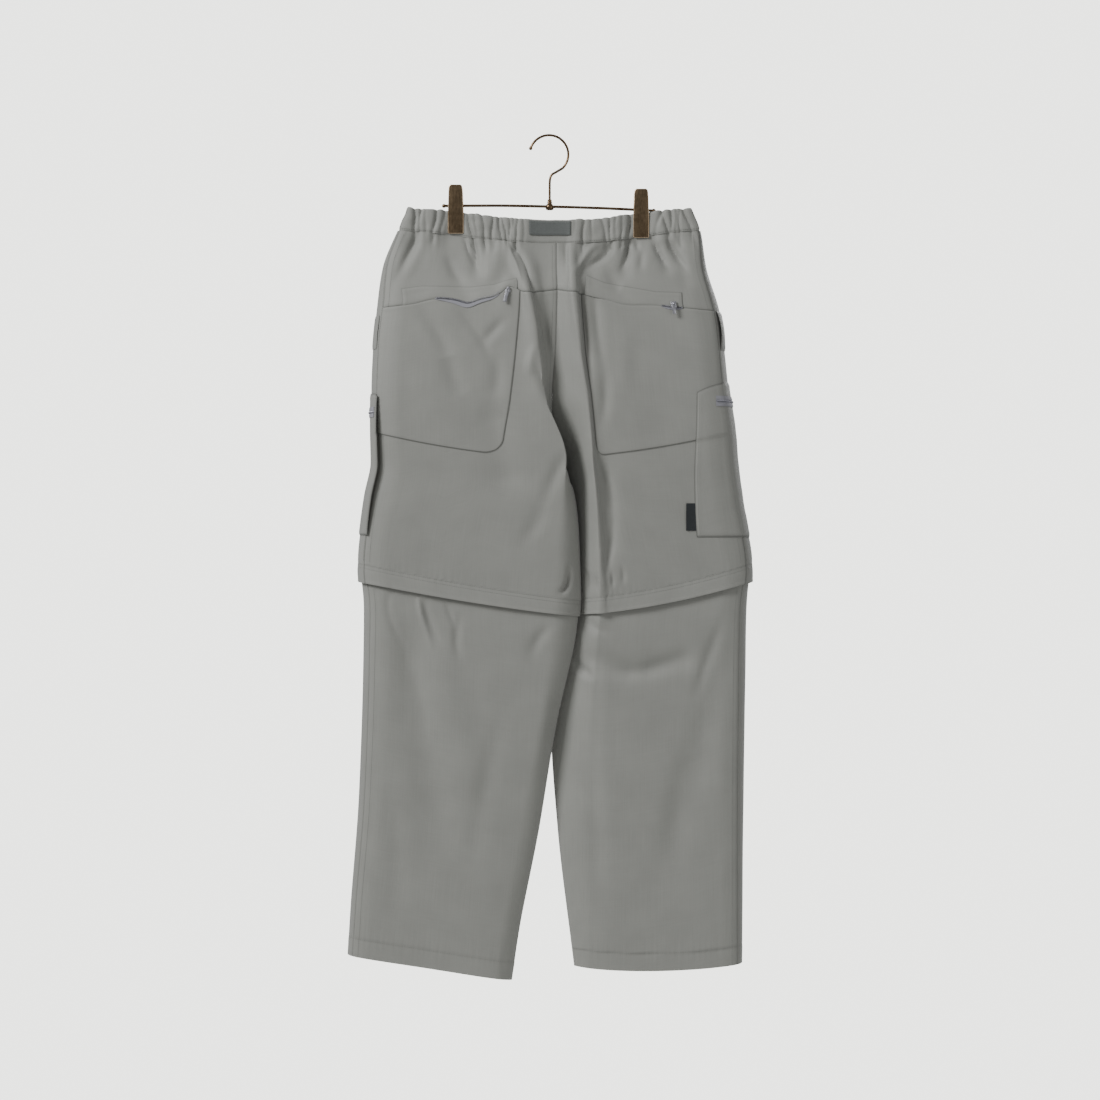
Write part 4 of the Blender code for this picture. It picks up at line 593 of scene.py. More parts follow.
def spaced_places():
    """Places round a leg, evenly apart on the leg's girth and closer at its seams."""
    probe = np.array([float(HIP), float(SEAT), float(KNEE), float(LOW)])
    made = []
    for low, high, count in ((-1.0, 0.0, FRONT_COLUMNS), (0.0, 1.0, BACK_COLUMNS)):
        fine = np.linspace(low, high, FINE)
        grid = middle_grid("left", fine, probe)
        steps = np.linalg.norm(np.diff(grid[..., :2], axis=1), axis=-1)
        reach = np.concatenate((np.zeros((len(probe), 1)), np.cumsum(steps, axis=1)), axis=1)
        length = reach[:, -1].mean()
        reach = (reach / reach[:, -1:]).mean(axis=0)
        close = np.array(SEAM_STEPS) / length
        even = np.linspace(0, 1, count + 1)
        even = even[(even > close[-1] * SEAM_CLEAR) & (even < 1 - close[-1] * SEAM_CLEAR)]
        even = np.sort(np.concatenate(([0.0, 1.0], close, 1 - close, even)))
        made.append(np.interp(even, reach, fine))
    return np.concatenate((made[0][:-1], [0.0], made[1][1:]))


# Relief: creases, ripples and seams

def lattice_noise(u, v, seed):
    """Smooth noise from -1 to 1 over the plane, one step of u or v to a cell."""
    rng = np.random.default_rng(seed)
    table = rng.uniform(-1, 1, (NOISE_CELLS, NOISE_CELLS))
    iu, iv = np.floor(u).astype(int), np.floor(v).astype(int)
    fu, fv = u - iu, v - iv
    fu, fv = fu * fu * (3 - 2 * fu), fv * fv * (3 - 2 * fv)
    corner = lambda a, b: table[(iu + a) % NOISE_CELLS, (iv + b) % NOISE_CELLS]
    low = corner(0, 0) * (1 - fu) + corner(1, 0) * fu
    high = corner(0, 1) * (1 - fu) + corner(1, 1) * fu
    return low * (1 - fv) + high * fv


def crease_sink(face, x, z):
    """How far the finer creases sink the cloth, in millimetres."""
    sink = np.zeros_like(x)
    t = np.linspace(0, 1, CREASE_STEPS + 1)[:, None]
    for x0, z0, x1, z1, x2, z2, width, depth in CREASES[face]:
        a, b, c = (np.array(point, float) for point in ((x0, z0), (x1, z1), (x2, z2)))
        pull = 2 * b - (a + c) / 2
        path = (1 - t) ** 2 * a + 2 * t * (1 - t) * pull + t**2 * c
        width *= CREASE_NARROW
        reach = CREASE_REACH * width
        low, high = path.min(axis=0) - reach, path.max(axis=0) + reach
        near = (x > low[0]) & (x < high[0]) & (z > low[1]) & (z < high[1])
        if not near.any():
            continue
        point = np.stack((x[near], z[near]), axis=-1)
        best, share = np.full(len(point), 1e9), np.zeros(len(point))
        for k, (start, end) in enumerate(zip(path[:-1], path[1:])):
            run = end - start
            along = np.clip(((point - start) @ run) / (run @ run), 0, 1)
            away = np.linalg.norm(point - start - along[:, None] * run, axis=1)
            closer = away < best
            best = np.where(closer, away, best)
            share = np.where(closer, (k + along) / CREASE_STEPS, share)
        taper = np.sin(math.pi * np.clip(CREASE_ENDS[0] + CREASE_ENDS[1] * share, 0, 1)) ** CREASE_TAPER
        sink[near] += depth * CREASE_GAIN * taper * bump(best, 0, width)
    return sink


def ripple(face, x, z):
    """The cloth's slow unevenness, in millimetres."""
    seed = SEED if face == "back" else FRONT_SEED
    height = np.zeros_like(x)
    for k, (length, rise) in enumerate(RIPPLES):
        u, v = (x + RIPPLE_SLANT * z) / length, (z - RIPPLE_LEAN * x) / (RIPPLE_STRETCH * length)
        height += rise * lattice_noise(u, v, seed + k)
    return height


def gather_sink(table, x, share):
    """How far a waistband's gathers sink it: share runs from its top edge, 0, to its bottom, 1."""
    sink = np.zeros_like(x)
    sway, sway_turns, sway_shift = GATHER_SWAY
    least, swing, turns, shift = GATHER_HEIGHT
    for k, (x_top, x_bottom, width, depth) in enumerate(table):
        line = x_top + (x_bottom - x_top) * share + sway * np.sin(sway_turns * share + sway_shift * k)
        height = least + swing * np.sin(turns * share + shift * k)
        sink += GATHER_GAIN * depth * height * np.exp(-(np.abs((x - line) / width) ** GATHER_POWER))
    return sink


class Surface:
    """A grid of points, in millimetres, with outward normals, on which other pieces are laid."""

    def __init__(self, grid, facing, places=None, levels=None, normals=None):
        self.grid, self.facing, self.places, self.levels = grid, facing, places, levels
        self.normals = grid_normals(grid, facing) if normals is None else normals
        self.middle = 0 if places is None else int(np.argmin(np.abs(places)))

    def row_of(self, level):
        return np.interp(level, self.levels, np.arange(len(self.levels)))

    def column_of(self, place):
        return np.interp(place, self.places, np.arange(len(self.places)))

    def rows_at(self, columns, z):
        """The row where each column reaches its height."""
        rows = np.arange(len(self.grid), dtype=float)
        heights = np.broadcast_to(z, np.shape(columns))
        line = lambda column: -sample(self.grid[..., 2:], rows, column)[:, 0]
        return np.array([np.interp(-height, line(column), rows) for column, height in zip(columns, heights)])

    def column_at(self, row, x):
        """The column of the back where a row reaches an x."""
        columns = np.arange(self.middle, self.grid.shape[1] - 1, dtype=float)
        columns = columns[self.places[self.middle:-1] <= BACK_KNOTS[3]]
        line = sample(self.grid[..., :1], row, columns)[:, 0]
        turn = 1 if line[-1] > line[0] else -1
        return float(np.interp(turn * x, turn * line, columns))

    def spot(self, x, z):
        """The row and column of the back that lie at x and z, closed in on step by step."""
        row = 0.0
        for _ in range(SPOT_STEPS):
            column = self.column_at(row, x)
            row = float(self.rows_at([column], z)[0])
        return row, column

    def points(self, rows, columns, lift=0.0):
        normals = sample(self.normals, rows, columns)
        return sample(self.grid, rows, columns) + normals * np.asarray(lift)[..., None]


def grid_normals(grid, facing):
    """Unit normals of a grid; facing is 1 or -1 to turn them outward."""
    down, across = np.gradient(grid, axis=0), np.gradient(grid, axis=1)
    normal = np.cross(across, down) * facing
    return normal / np.maximum(TINY, np.linalg.norm(normal, axis=-1, keepdims=True))


def sample(grid, rows, columns):
    """Points of a grid at rows and columns that may lie within its cells."""
    rows, columns = np.broadcast_arrays(np.asarray(rows, float), np.asarray(columns, float))
    r = np.clip(np.floor(rows).astype(int), 0, grid.shape[0] - 2)
    c = np.clip(np.floor(columns).astype(int), 0, grid.shape[1] - 2)
    a, b = (rows - r)[..., None], (columns - c)[..., None]
    upper = grid[r, c] * (1 - b) + grid[r, c + 1] * b
    lower = grid[r + 1, c] * (1 - b) + grid[r + 1, c + 1] * b
    return upper * (1 - a) + lower * a


def lengths(grid):
    """How far each point lies down its column and across its row, in the grid's units."""
    down = np.zeros(grid.shape[:2])
    across = np.zeros(grid.shape[:2])
    down[1:] = np.cumsum(np.linalg.norm(np.diff(grid, axis=0), axis=-1), axis=0)
    across[:, 1:] = np.cumsum(np.linalg.norm(np.diff(grid, axis=1), axis=-1), axis=1)
    return down, across


def joined_normals(grids, levels):
    """Both sides' normals, made the same along the seams where the sides or a leg's faces meet."""
    normals = {side: grid_normals(grids[side], FACING[side]) for side in SIDES}
    left, right = normals["left"], normals["right"]
    above = (levels < CROTCH)[:, None]
    for column in (0, -1):
        both = left[:, column] + right[:, column]
        both /= np.linalg.norm(both, axis=-1, keepdims=True)
        for side in SIDES:
            normals[side][:, column] = np.where(above, both, normals[side][:, column])
    for side in SIDES:
        both = normals[side][:, 0] + normals[side][:, -1]
        both /= np.maximum(TINY, np.linalg.norm(both, axis=-1, keepdims=True))
        for column in (0, -1):
            normals[side][:, column] = np.where(above, normals[side][:, column], both)
    return normals


def worked_cloth(places, levels, extra):
    """Both legs' surfaces over some levels, with creases, ripples and the extra relief of a span."""
    grids = {side: middle_grid(side, places, levels) for side in SIDES}
    normals = joined_normals(grids, levels)
    made = {}
    for side, grid in grids.items():
        x, z = grid[..., 0], grid[..., 2]
        relief = np.where(
            (places >= 0)[None],
            ripple("back", x, z) - crease_sink("back", x, z),
            ripple("front", x, z) - crease_sink("front", x, z),
        ) * seam_fade(places) + extra(grid, places, levels)
        made[side] = grid + normals[side] * relief[..., None]
    normals = joined_normals(made, levels)
    return {side: Surface(made[side], FACING[side], places, levels, normals[side]) for side in SIDES}


def seam_ridge(distance):
    """A seam's groove at 0 and the allowance under the cloth beside it, in millimetres."""
    groove = -SEAM_GROOVE * bump(distance, 0, SEAM_GROOVE_WIDTH)
    return groove + ALLOWANCE * ease(*ALLOWANCE_START, distance) * (1 - ease(*ALLOWANCE_END, distance))


def pucker(distance, along, seam):
    """The small ripples across a stitched seam."""
    pitch, height, reach = PUCKERS[seam]
    phase = along / pitch
    for swing, length in PUCKER_DRIFTS:
        phase = phase + swing * np.sin(along / length)
    return height * np.sin(2 * math.pi * phase) * np.exp(-np.abs(distance) / reach)


def side_seam(across, places):
    """How far each point lies from the side seam, and the seam's relief there."""
    column = int(np.argmin(np.abs(places)))
    from_side = across - across[:, column:column + 1]
    return from_side, seam_ridge(np.abs(from_side)) * np.where(from_side >= 0, 1.0, FRONT_SEAM_SHARE)


def upper_relief(grid, places, levels):
    """The seat's and thigh's seams: side, centre and yoke seams, and the folds under the band."""
    down, across = lengths(grid)
    from_side, relief = side_seam(across, places)
    relief += pucker(from_side, down, "side")
    on_back = (places >= 0)[None]
    centre = seam_ridge(across[:, -1:] - across)
    relief += np.where(on_back, centre, 0.0) * (levels < CENTRE_SEAM_END)[:, None]
    yoke_row = int(np.argmin(np.abs(levels - YOKE)))
    from_yoke = down[yoke_row:yoke_row + 1] - down
    relief += np.where(on_back & (from_yoke > YOKE_GROOVE_FROM), seam_ridge(np.abs(from_yoke)), 0.0)
    relief += np.where(on_back, YOKE_LAP * ease(-YOKE_LAP_WIDTH, YOKE_LAP_WIDTH, from_yoke), 0.0)
    relief += pucker(down[-1:] - down, from_side, "knee")
    fade = np.exp(-down / GATHER_RUN)
    for table, face in ((BACK_GATHERS, on_back), (FRONT_GATHERS, ~on_back)):
        relief -= np.where(face, gather_sink(table, grid[..., 0], 1.0) * GATHER_RUN_SHARE * fade, 0.0)
    return relief


def flap_relief(grid, places, levels):
    """The knee flap's flare, stitch grooves, lip and waves."""
    down, across = lengths(grid)
    height = down / down[-1:]
    calm = (1 - ease(CALM_FROM, CALM_TO, np.abs(places)))[None]
    relief = FLAP_FLARE * height * calm
    relief -= sum(sink * bump(down, at, STITCH_GROOVE) for at, sink in zip(FLAP_STITCHES, FLAP_SINKS))
    relief += FLAP_LIP * bump(height, FLAP_LIP_AT, FLAP_LIP_WIDTH)
    wave = lattice_noise(across / FLAP_WAVE_CELL[0], down / FLAP_WAVE_CELL[1], SEED + 7)
    relief += FLAP_WAVE * wave * height * calm
    relief += pucker(down, across, "flap")
    return relief


def lower_relief(grid, places, levels):
    """The lower leg's tuck under the flap, its side seam and its hem."""
    down, across = lengths(grid)
    from_side, ridge = side_seam(across, places)
    relief = TUCK * (1 - ease(TUCK_START, SHIN, levels))[:, None] + ridge
    relief += pucker(from_side, down, "lower side")
    from_hem = down[-1:] - down
    relief -= HEM_GROOVE * bump(from_hem, HEM_HEIGHT, HEM_GROOVE_WIDTH)
    relief += HEM_RAISE * (1 - ease(HEM_HEIGHT - 1, HEM_HEIGHT + 1, from_hem))
    relief += pucker(from_hem - HEM_HEIGHT, from_side, "hem")
    return relief


# Making meshes

def grid_mesh(name, outer, inner, facing, finish, shade=None):
    """A closed sheet between an outer and an inner grid, in millimetres, with UVs in metres of cloth."""
    rows, columns = outer.shape[:2]
    count = rows * columns
    index = np.arange(count).reshape(rows, columns)
    a, b, c, d = index[:-1, :-1], index[1:, :-1], index[1:, 1:], index[:-1, 1:]
    front = np.stack((a, b, c, d), axis=-1).reshape(-1, 4)
    back = np.stack((a, d, c, b), axis=-1).reshape(-1, 4) + count
    left = np.stack((index[:-1, 0], index[:-1, 0] + count, index[1:, 0] + count, index[1:, 0]), axis=-1)
    right = np.stack((index[:-1, -1], index[1:, -1], index[1:, -1] + count, index[:-1, -1] + count), axis=-1)
    top = np.stack((index[0, :-1], index[0, 1:], index[0, 1:] + count, index[0, :-1] + count), axis=-1)
    foot = np.stack((index[-1, :-1], index[-1, :-1] + count, index[-1, 1:] + count, index[-1, 1:]), axis=-1)
    faces = np.concatenate((front, back, left, right, top, foot))
    if facing > 0:
        faces = faces[:, ::-1]
    points = np.concatenate((outer.reshape(-1, 3), inner.reshape(-1, 3))) * MM
    data = bpy.data.meshes.new(name)
    data.from_pydata(points.tolist(), [], faces.tolist())
    down, across = lengths(outer * MM)
    flat = np.stack((across, down), axis=-1).reshape(-1, 2)
    spread = np.concatenate((flat, flat))[faces.reshape(-1)]
    layer = data.uv_layers.new(name="cloth")
    layer.data.foreach_set("uv", spread.astype(np.float32).ravel())
    # The painted shade goes into the seam attribute, which darkens the cloth's colour
    if shade is not None:
        seams = data.attributes.new("seam", "FLOAT", "POINT")
        both = np.concatenate((shade.ravel(), np.zeros(count)))
        seams.data.foreach_set("value", both.astype(np.float32))
    return finished(name, data, finish)


def finished(name, data, finish, sharp=CLOTH_SHARP):
    name = f"{name}_made"
    data.shade_smooth()
    data.set_sharp_from_angle(angle=math.radians(sharp))
    data.materials.clear()
    data.materials.append(finish)
    obj = bpy.data.objects.new(name, data)
    bpy.context.scene.collection.objects.link(obj)
    return obj


def placed(obj, slot, *nodes, body=BODY):
    """The piece rides on its body and stands for its nodes; the slot is not used."""
    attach(obj, body)
    if nodes:
        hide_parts(*nodes)
    return obj


def trimmed(grid, side_trim, end_trim=SEAM_TRIM):
    """The grid with its edges drawn back a little, so that pieces stay apart at seams."""
    made = grid.copy()
    for edge, inner in ((0, 1), (-1, -2)):
        step = grid[:, inner] - grid[:, edge]
        made[:, edge] += step * (side_trim / np.linalg.norm(step, axis=-1))[:, None]
    for edge, inner in ((0, 1), (-1, -2)):
        step = made[inner] - made[edge]
        made[edge] += step * (end_trim / np.linalg.norm(step, axis=-1))[:, None]
    return made


def sewn(obj):
    """Works out the cut of what shows of a placed piece of cloth, and gives the piece back."""
    width, length, area = cut_of(obj)
    return obj


def cut_of(obj):
    """A piece's flat width and length, from its UVs in metres of cloth, and the area of its outer face."""
    uvs = np.zeros(len(obj.data.loops) * 2, np.float32)
    obj.data.uv_layers["cloth"].data.foreach_get("uv", uvs)
    width, length = np.maximum(uvs.reshape(-1, 2).max(axis=0), LEAST_CUT).astype(float)
    area = sum(polygon.area for polygon in obj.data.polygons) / 2
    return float(width), float(length), float(np.clip(area, LEAST_SHARE * width * length, width * length))


def panel(name, surface, rows, columns, finish, thickness=CLOTH, side_trim=SEAM_TRIM, shaded="lr",
          depth=0.6, valley=0.0):
    """A cut panel of the worked cloth, with painted shade along its shaded edges and any further painted
    shade passed in.
    """
    normals = surface.normals[rows, columns]
    trim = np.broadcast_to(np.asarray(side_trim, float), (normals.shape[0],))
    middle = trimmed(surface.grid[rows, columns], trim)
    thick = np.broadcast_to(np.asarray(thickness, float), (normals.shape[0],))[:, None, None]
    outer = middle + normals * CLOTH / 2
    shade = np.maximum(depth * seam_shade(edge_distance(middle, shaded)), valley)
    shade = np.broadcast_to(shade, middle.shape[:2])
    obj = grid_mesh(name, outer, outer - normals * thick, surface.facing, finish["nylon"], shade)
    return sewn(placed(obj, "nylon", name))


def seam_shade(distance):
    """Painted shade in a seam: 1 in it, 0 away from it."""
    return SEAM_SHADE * bump(distance, 0, SEAM_SHADE_WIDTH)


def patch(name, surface, rows, columns, finish, slot="nylon", lift=0.0, relief=0.0, base=CLOTH / 2,
          shaded="", depth=1.0):
    """A piece laid on a surface, from its own points moved out; gives its outer surface."""
    points, normals = sample(surface.grid, rows, columns), sample(surface.normals, rows, columns)
    normals /= np.linalg.norm(normals, axis=-1, keepdims=True)
    lifted = np.broadcast_to(np.asarray(lift, float), points.shape[:2])[..., None]
    raised = np.broadcast_to(np.asarray(relief, float), points.shape[:2])[..., None]
    inner = points + normals * (base + LAY_GAP + lifted)
    outer = inner + normals * (LAID_CLOTH[slot] + raised)
    facing = surface.facing if winds_as(rows, columns) else -surface.facing
    # Painted shade along the patch's shaded edges, where the shadow of its edge falls
    shade = depth * seam_shade(edge_distance(points, shaded)) if shaded else None
    obj = grid_mesh(name, outer, inner, facing, finish[slot], shade)
    sewn(placed(obj, slot, name))
    return Surface(outer, facing)


def winds_as(rows, columns):
    """Whether the patch's columns run the same way as the surface's."""
    rows, columns = np.broadcast_arrays(rows, columns)
    return (columns[0, -1] > columns[0, 0]) == (rows[-1, 0] > rows[0, 0])


def edge_distance(grid, sides="tblr"):
    """How far each point lies from the nearest edge of a grid."""
    down, across = lengths(grid)
    reach = {"t": down, "b": down[-1:] - down, "l": across, "r": across[:, -1:] - across}
    return np.min([reach[side] for side in sides], axis=0)


def edge_relief(distance, stitch, puff=EDGE_PUFF):
    """A turned and stitched edge: rounded off, sunk at the stitches, and soft inside them."""
    rounded = -EDGE_ROUND * bump(distance, 0, EDGE_ROUND_WIDTH)
    sunk = -EDGE_SINK * bump(distance, stitch, STITCH_GROOVE)
    return rounded + sunk + puff * bump(distance, stitch + EDGE_PUFF_AT, EDGE_PUFF_WIDTH)


def between(head, foot, count):
    """Rows evenly spaced from one line of rows to another."""
    return head + (foot - head) * np.linspace(0, 1, count)[:, None]


# Stitch lines, gathered as the pieces are made

STITCH_LINES = {"seat": [], "pockets": [], "legs": []}
TOOTH_LINES = []


def stitch(group, surface, rows, columns, lift=STITCH_LIFT):
    rows, columns = np.broadcast_arrays(np.asarray(rows, float), np.asarray(columns, float))
    STITCH_LINES[group].append(surface.points(rows, columns, np.full(rows.shape, lift)))


def teeth(tape, row, lift):
    """A line of zip teeth along a row of a tape."""
    columns = np.arange(1.0, tape.grid.shape[1] - 1)
    TOOTH_LINES.append(tape.points(np.full(len(columns), row), columns, np.full(len(columns), lift)))


def rows_down(surface, columns, distance):
    """Rows a distance down from the top edge, or up from the foot where it is negative."""
    down, _ = lengths(surface.grid)
    start = down[0] if distance > 0 else down[-1]
    return np.array([
        np.interp(start[int(c)] + distance, down[:, int(c)], np.arange(len(down))) for c in columns
    ])


def columns_off(surface, rows, base, distance):
    """Columns a distance to the side of a base column, one for each row."""
    _, across = lengths(surface.grid)
    steps = np.arange(across.shape[1])
    return np.array([np.interp(across[int(r), base] + distance, across[int(r)], steps) for r in rows])


def line_tree():
    """Geometry nodes: beads of thread or zip teeth, evenly spaced along lines."""
    tree = bpy.data.node_groups.new("sewn line", "GeometryNodeTree")
    face = tree.interface
    face.new_socket(name="Line", in_out="INPUT", socket_type="NodeSocketGeometry")
    for name, value in (("Pitch", STITCH_PITCH), ("Length", STITCH_LENGTH), ("Thickness", STITCH_THICK)):
        face.new_socket(name=name, in_out="INPUT", socket_type="NodeSocketFloat").default_value = value * MM
    face.new_socket(name="Thread", in_out="INPUT", socket_type="NodeSocketMaterial")
    face.new_socket(name="Line", in_out="OUTPUT", socket_type="NodeSocketGeometry")
    given, out, curve, even, place, bead, shrink, size, tangent, aim, real, paint = (
        tree.nodes.new(kind) for kind in (
            "NodeGroupInput", "NodeGroupOutput", "GeometryNodeMeshToCurve", "GeometryNodeResampleCurve",
            "GeometryNodeInstanceOnPoints", "GeometryNodeMeshUVSphere", "GeometryNodeTransform",
            "ShaderNodeCombineXYZ", "GeometryNodeInputTangent", "FunctionNodeAlignEulerToVector",
            "GeometryNodeRealizeInstances", "GeometryNodeSetMaterial",
        )
    )
    even.mode = "LENGTH"
    aim.axis = "X"
    bead.inputs["Segments"].default_value, bead.inputs["Rings"].default_value = BEAD_FACES
    bead.inputs["Radius"].default_value = 0.5
    for source, output, target, socket in (
        (given, "Line", curve, "Mesh"), (curve, "Curve", even, "Curve"), (given, "Pitch", even, "Length"),
        (even, "Curve", place, "Points"), (given, "Length", size, "X"), (given, "Thickness", size, "Y"),
        (given, "Thickness", size, "Z"), (bead, "Mesh", shrink, "Geometry"),
        (size, "Vector", shrink, "Scale"), (shrink, "Geometry", place, "Instance"),
        (tangent, "Tangent", aim, "Vector"), (aim, "Rotation", place, "Rotation"),
        (place, "Instances", real, "Geometry"),
        (real, "Geometry", paint, "Geometry"), (given, "Thread", paint, "Material"),
        (paint, "Geometry", out, "Line"),
    ):
        tree.links.new(source.outputs[output], target.inputs[socket])
    return tree


def sewn_line(name, tree, lines, pitch, length, thickness, finish, slot):
    """All lines of one kind as one plain mesh, made by the sewn line tree."""
    points, edges = [], []
    for line in lines:
        first = len(points)
        points += (np.asarray(line) * MM).tolist()
        edges += [(first + k, first + k + 1) for k in range(len(line) - 1)]
    data = bpy.data.meshes.new(name)
    data.from_pydata(points, edges, [])
    obj = bpy.data.objects.new(name, data)
    bpy.context.scene.collection.objects.link(obj)
    modifier = obj.modifiers.new("line", "NODES")
    modifier.node_group = tree
    values = {"Pitch": pitch * MM, "Length": length * MM, "Thickness": thickness * MM, "Thread": finish}
    for item in tree.interface.items_tree:
        if item.in_out == "INPUT" and item.name in values:
            modifier[item.identifier] = values[item.name]
    bpy.context.view_layer.update()
    evaluated = obj.evaluated_get(bpy.context.evaluated_depsgraph_get())
    obj.data = bpy.data.meshes.new_from_object(evaluated)
    obj.modifiers.clear()
    obj.data.materials.clear()
    obj.data.materials.append(finish)
    obj.data.shade_smooth()
    return placed(obj, slot)


# Finishes

def shader_group(name, inputs, outputs):
    group = bpy.data.node_groups.new(name, "ShaderNodeTree")
    for socket, kind, value in inputs:
        group.interface.new_socket(name=socket, in_out="INPUT", socket_type=kind).default_value = value
    for socket, kind in outputs:
        group.interface.new_socket(name=socket, in_out="OUTPUT", socket_type=kind)
    return group, group.nodes.new("NodeGroupInput"), group.nodes.new("NodeGroupOutput")


class Wiring:
    """Short ways to add and join the nodes of one tree."""

    def __init__(self, tree):
        self.tree = tree

    def add(self, kind, **settings):
        made = self.tree.nodes.new(kind)
        for name, value in settings.items():
            setattr(made, name, value)
        return made

    def join(self, source, target):
        self.tree.links.new(source, target)

    def feed(self, socket, value):
        if hasattr(value, "links"):
            self.join(value, socket)
        else:
            socket.default_value = value

    def maths(self, operation, *values):
        made = self.add("ShaderNodeMath", operation=operation)
        for socket, value in zip(made.inputs, values):
            self.feed(socket, value)
        return made.outputs[0]

    def spread(self, value, low, high, new_low, new_high):
        made = self.add("ShaderNodeMapRange")
        names = ("Value", "From Min", "From Max", "To Min", "To Max")
        for name, given in zip(names, (value, low, high, new_low, new_high)):
            self.feed(made.inputs[name], given)
        return made.outputs["Result"]

    def noise(self, vector, scale, detail=2.0, roughness=0.5):
        made = self.add("ShaderNodeTexNoise")
        self.join(vector, made.inputs["Vector"])
        for name, value in (("Scale", scale), ("Detail", detail), ("Roughness", roughness)):
            self.feed(made.inputs[name], value)
        return made.outputs["Fac"]

    def stretched(self, vector, x, y, z=1.0):
        made = self.add("ShaderNodeMapping")
        made.inputs["Scale"].default_value = (x, y, z)
        self.join(vector, made.inputs["Vector"])
        return made.outputs["Vector"]

    def shaded(self, colour, factor):
        """A colour made lighter or darker by a factor."""
        made = self.add("ShaderNodeVectorMath", operation="SCALE")
        self.feed(made.inputs[0], colour)
        self.feed(made.inputs["Scale"], factor)
        return made.outputs["Vector"]


def weave_group():
    """Plain weave on a piece's cloth UVs: tone, gloss and thread height."""
    group, given, out = shader_group(
        "woven cloth",
        (
            ("Vector", "NodeSocketVector", (0, 0, 0)), ("Colour", "NodeSocketColor", (0.3, 0.3, 0.3, 1)),
            ("Threads", "NodeSocketFloat", 2200.0), ("Contrast", "NodeSocketFloat", 0.05),
            ("Slub", "NodeSocketFloat", 0.05), ("Clouding", "NodeSocketFloat", 0.05),
            ("Roughness", "NodeSocketFloat", 0.6),
        ),
        (("Colour", "NodeSocketColor"), ("Roughness", "NodeSocketFloat"), ("Height", "NodeSocketFloat")),
    )
    w = Wiring(group)
    vector = given.outputs["Vector"]
    parts = w.add("ShaderNodeSeparateXYZ")
    w.join(vector, parts.inputs[0])
    threads = given.outputs["Threads"]
    turns = w.maths("MULTIPLY", threads, math.pi)
    across = w.maths("SINE", w.maths("MULTIPLY", parts.outputs["X"], turns))
    down = w.maths("SINE", w.maths("MULTIPLY", parts.outputs["Y"], turns))
    over = w.maths("MULTIPLY", across, down)
    height = w.maths("ADD", w.maths("ABSOLUTE", over), w.maths("MULTIPLY", over, THREAD_CROWN))
    warp = w.noise(w.stretched(vector, YARN_FINE, YARN_LONG), 1.0, YARN_DETAIL)
    weft = w.noise(w.stretched(vector, YARN_LONG, YARN_FINE), 1.0, YARN_DETAIL)
    slub = w.maths(
        "ADD",
        w.spread(warp, *NOISE_RANGE, -WARP_SWING, WARP_SWING),
        w.spread(weft, *NOISE_RANGE, -WEFT_SWING, WEFT_SWING),
    )
    cloud = w.spread(w.noise(vector, CLOUD_SCALE, CLOUD_DETAIL), *NOISE_RANGE, -1.0, 1.0)
    threads = w.spread(height, 0.0, 1.0, *THREAD_TONES)
    tone = w.maths("ADD", 1.0, w.maths("MULTIPLY", threads, given.outputs["Contrast"]))
    tone = w.maths("ADD", tone, w.maths("MULTIPLY", slub, given.outputs["Slub"]))
    tone = w.maths("ADD", tone, w.maths("MULTIPLY", cloud, given.outputs["Clouding"]))
    gloss = w.maths("ADD", given.outputs["Roughness"], w.maths("MULTIPLY", cloud, CLOUD_GLOSS))
    w.join(w.shaded(given.outputs["Colour"], tone), out.inputs["Colour"])
    w.join(gloss, out.inputs["Roughness"])
    w.join(w.maths("ADD", height, w.maths("MULTIPLY", slub, SLUB_HEIGHT)), out.inputs["Height"])
    return group


def principled(name):
    """A new material, the short ways to wire it, and its main shader."""
    made = bpy.data.materials.new(name)
    made.use_nodes = True
    return made, Wiring(made.node_tree), made.node_tree.nodes["Principled BSDF"]


def fabric(group, name, colour, threads, roughness, thread_height, sheen, contrast, slub, clouding):
    """Woven cloth, its colour darkened by painted shade in its seams, at the hem and between the legs."""
    made, w, shader = principled(name)
    uv = w.add("ShaderNodeUVMap", uv_map="cloth")
    cloth = w.add("ShaderNodeGroup")
    cloth.node_tree = group
    w.join(uv.outputs["UV"], cloth.inputs["Vector"])
    values = {
        "Colour": (*colour, 1.0), "Threads": threads, "Contrast": contrast, "Slub": slub,
        "Clouding": clouding, "Roughness": roughness,
    }
    for socket, value in values.items():
        cloth.inputs[socket].default_value = value
    relief = w.add("ShaderNodeBump")
    relief.inputs["Strength"].default_value = WEAVE_RELIEF
    relief.inputs["Distance"].default_value = thread_height
    w.join(cloth.outputs["Height"], relief.inputs["Height"])
    # The seam attribute holds painted shade: the colour is darkened where shade falls in seams, at the hem
    # and between the legs
    seam = w.add("ShaderNodeAttribute", attribute_name="seam")
    kept = w.spread(seam.outputs["Fac"], 0.0, 1.0, 1.0, PAINTED_SHADE_DARKEST)
    w.join(w.shaded(cloth.outputs["Colour"], kept), shader.inputs["Base Color"])
    w.join(cloth.outputs["Roughness"], shader.inputs["Roughness"])
    w.join(relief.outputs["Normal"], shader.inputs["Normal"])
    shader.inputs["Specular IOR Level"].default_value = CLOTH_SPECULAR
    shader.inputs["Sheen Weight"].default_value = sheen
    shader.inputs["Sheen Roughness"].default_value = SHEEN_ROUGHNESS
    shader.inputs["Sheen Tint"].default_value = SHEEN_TINT
    return made


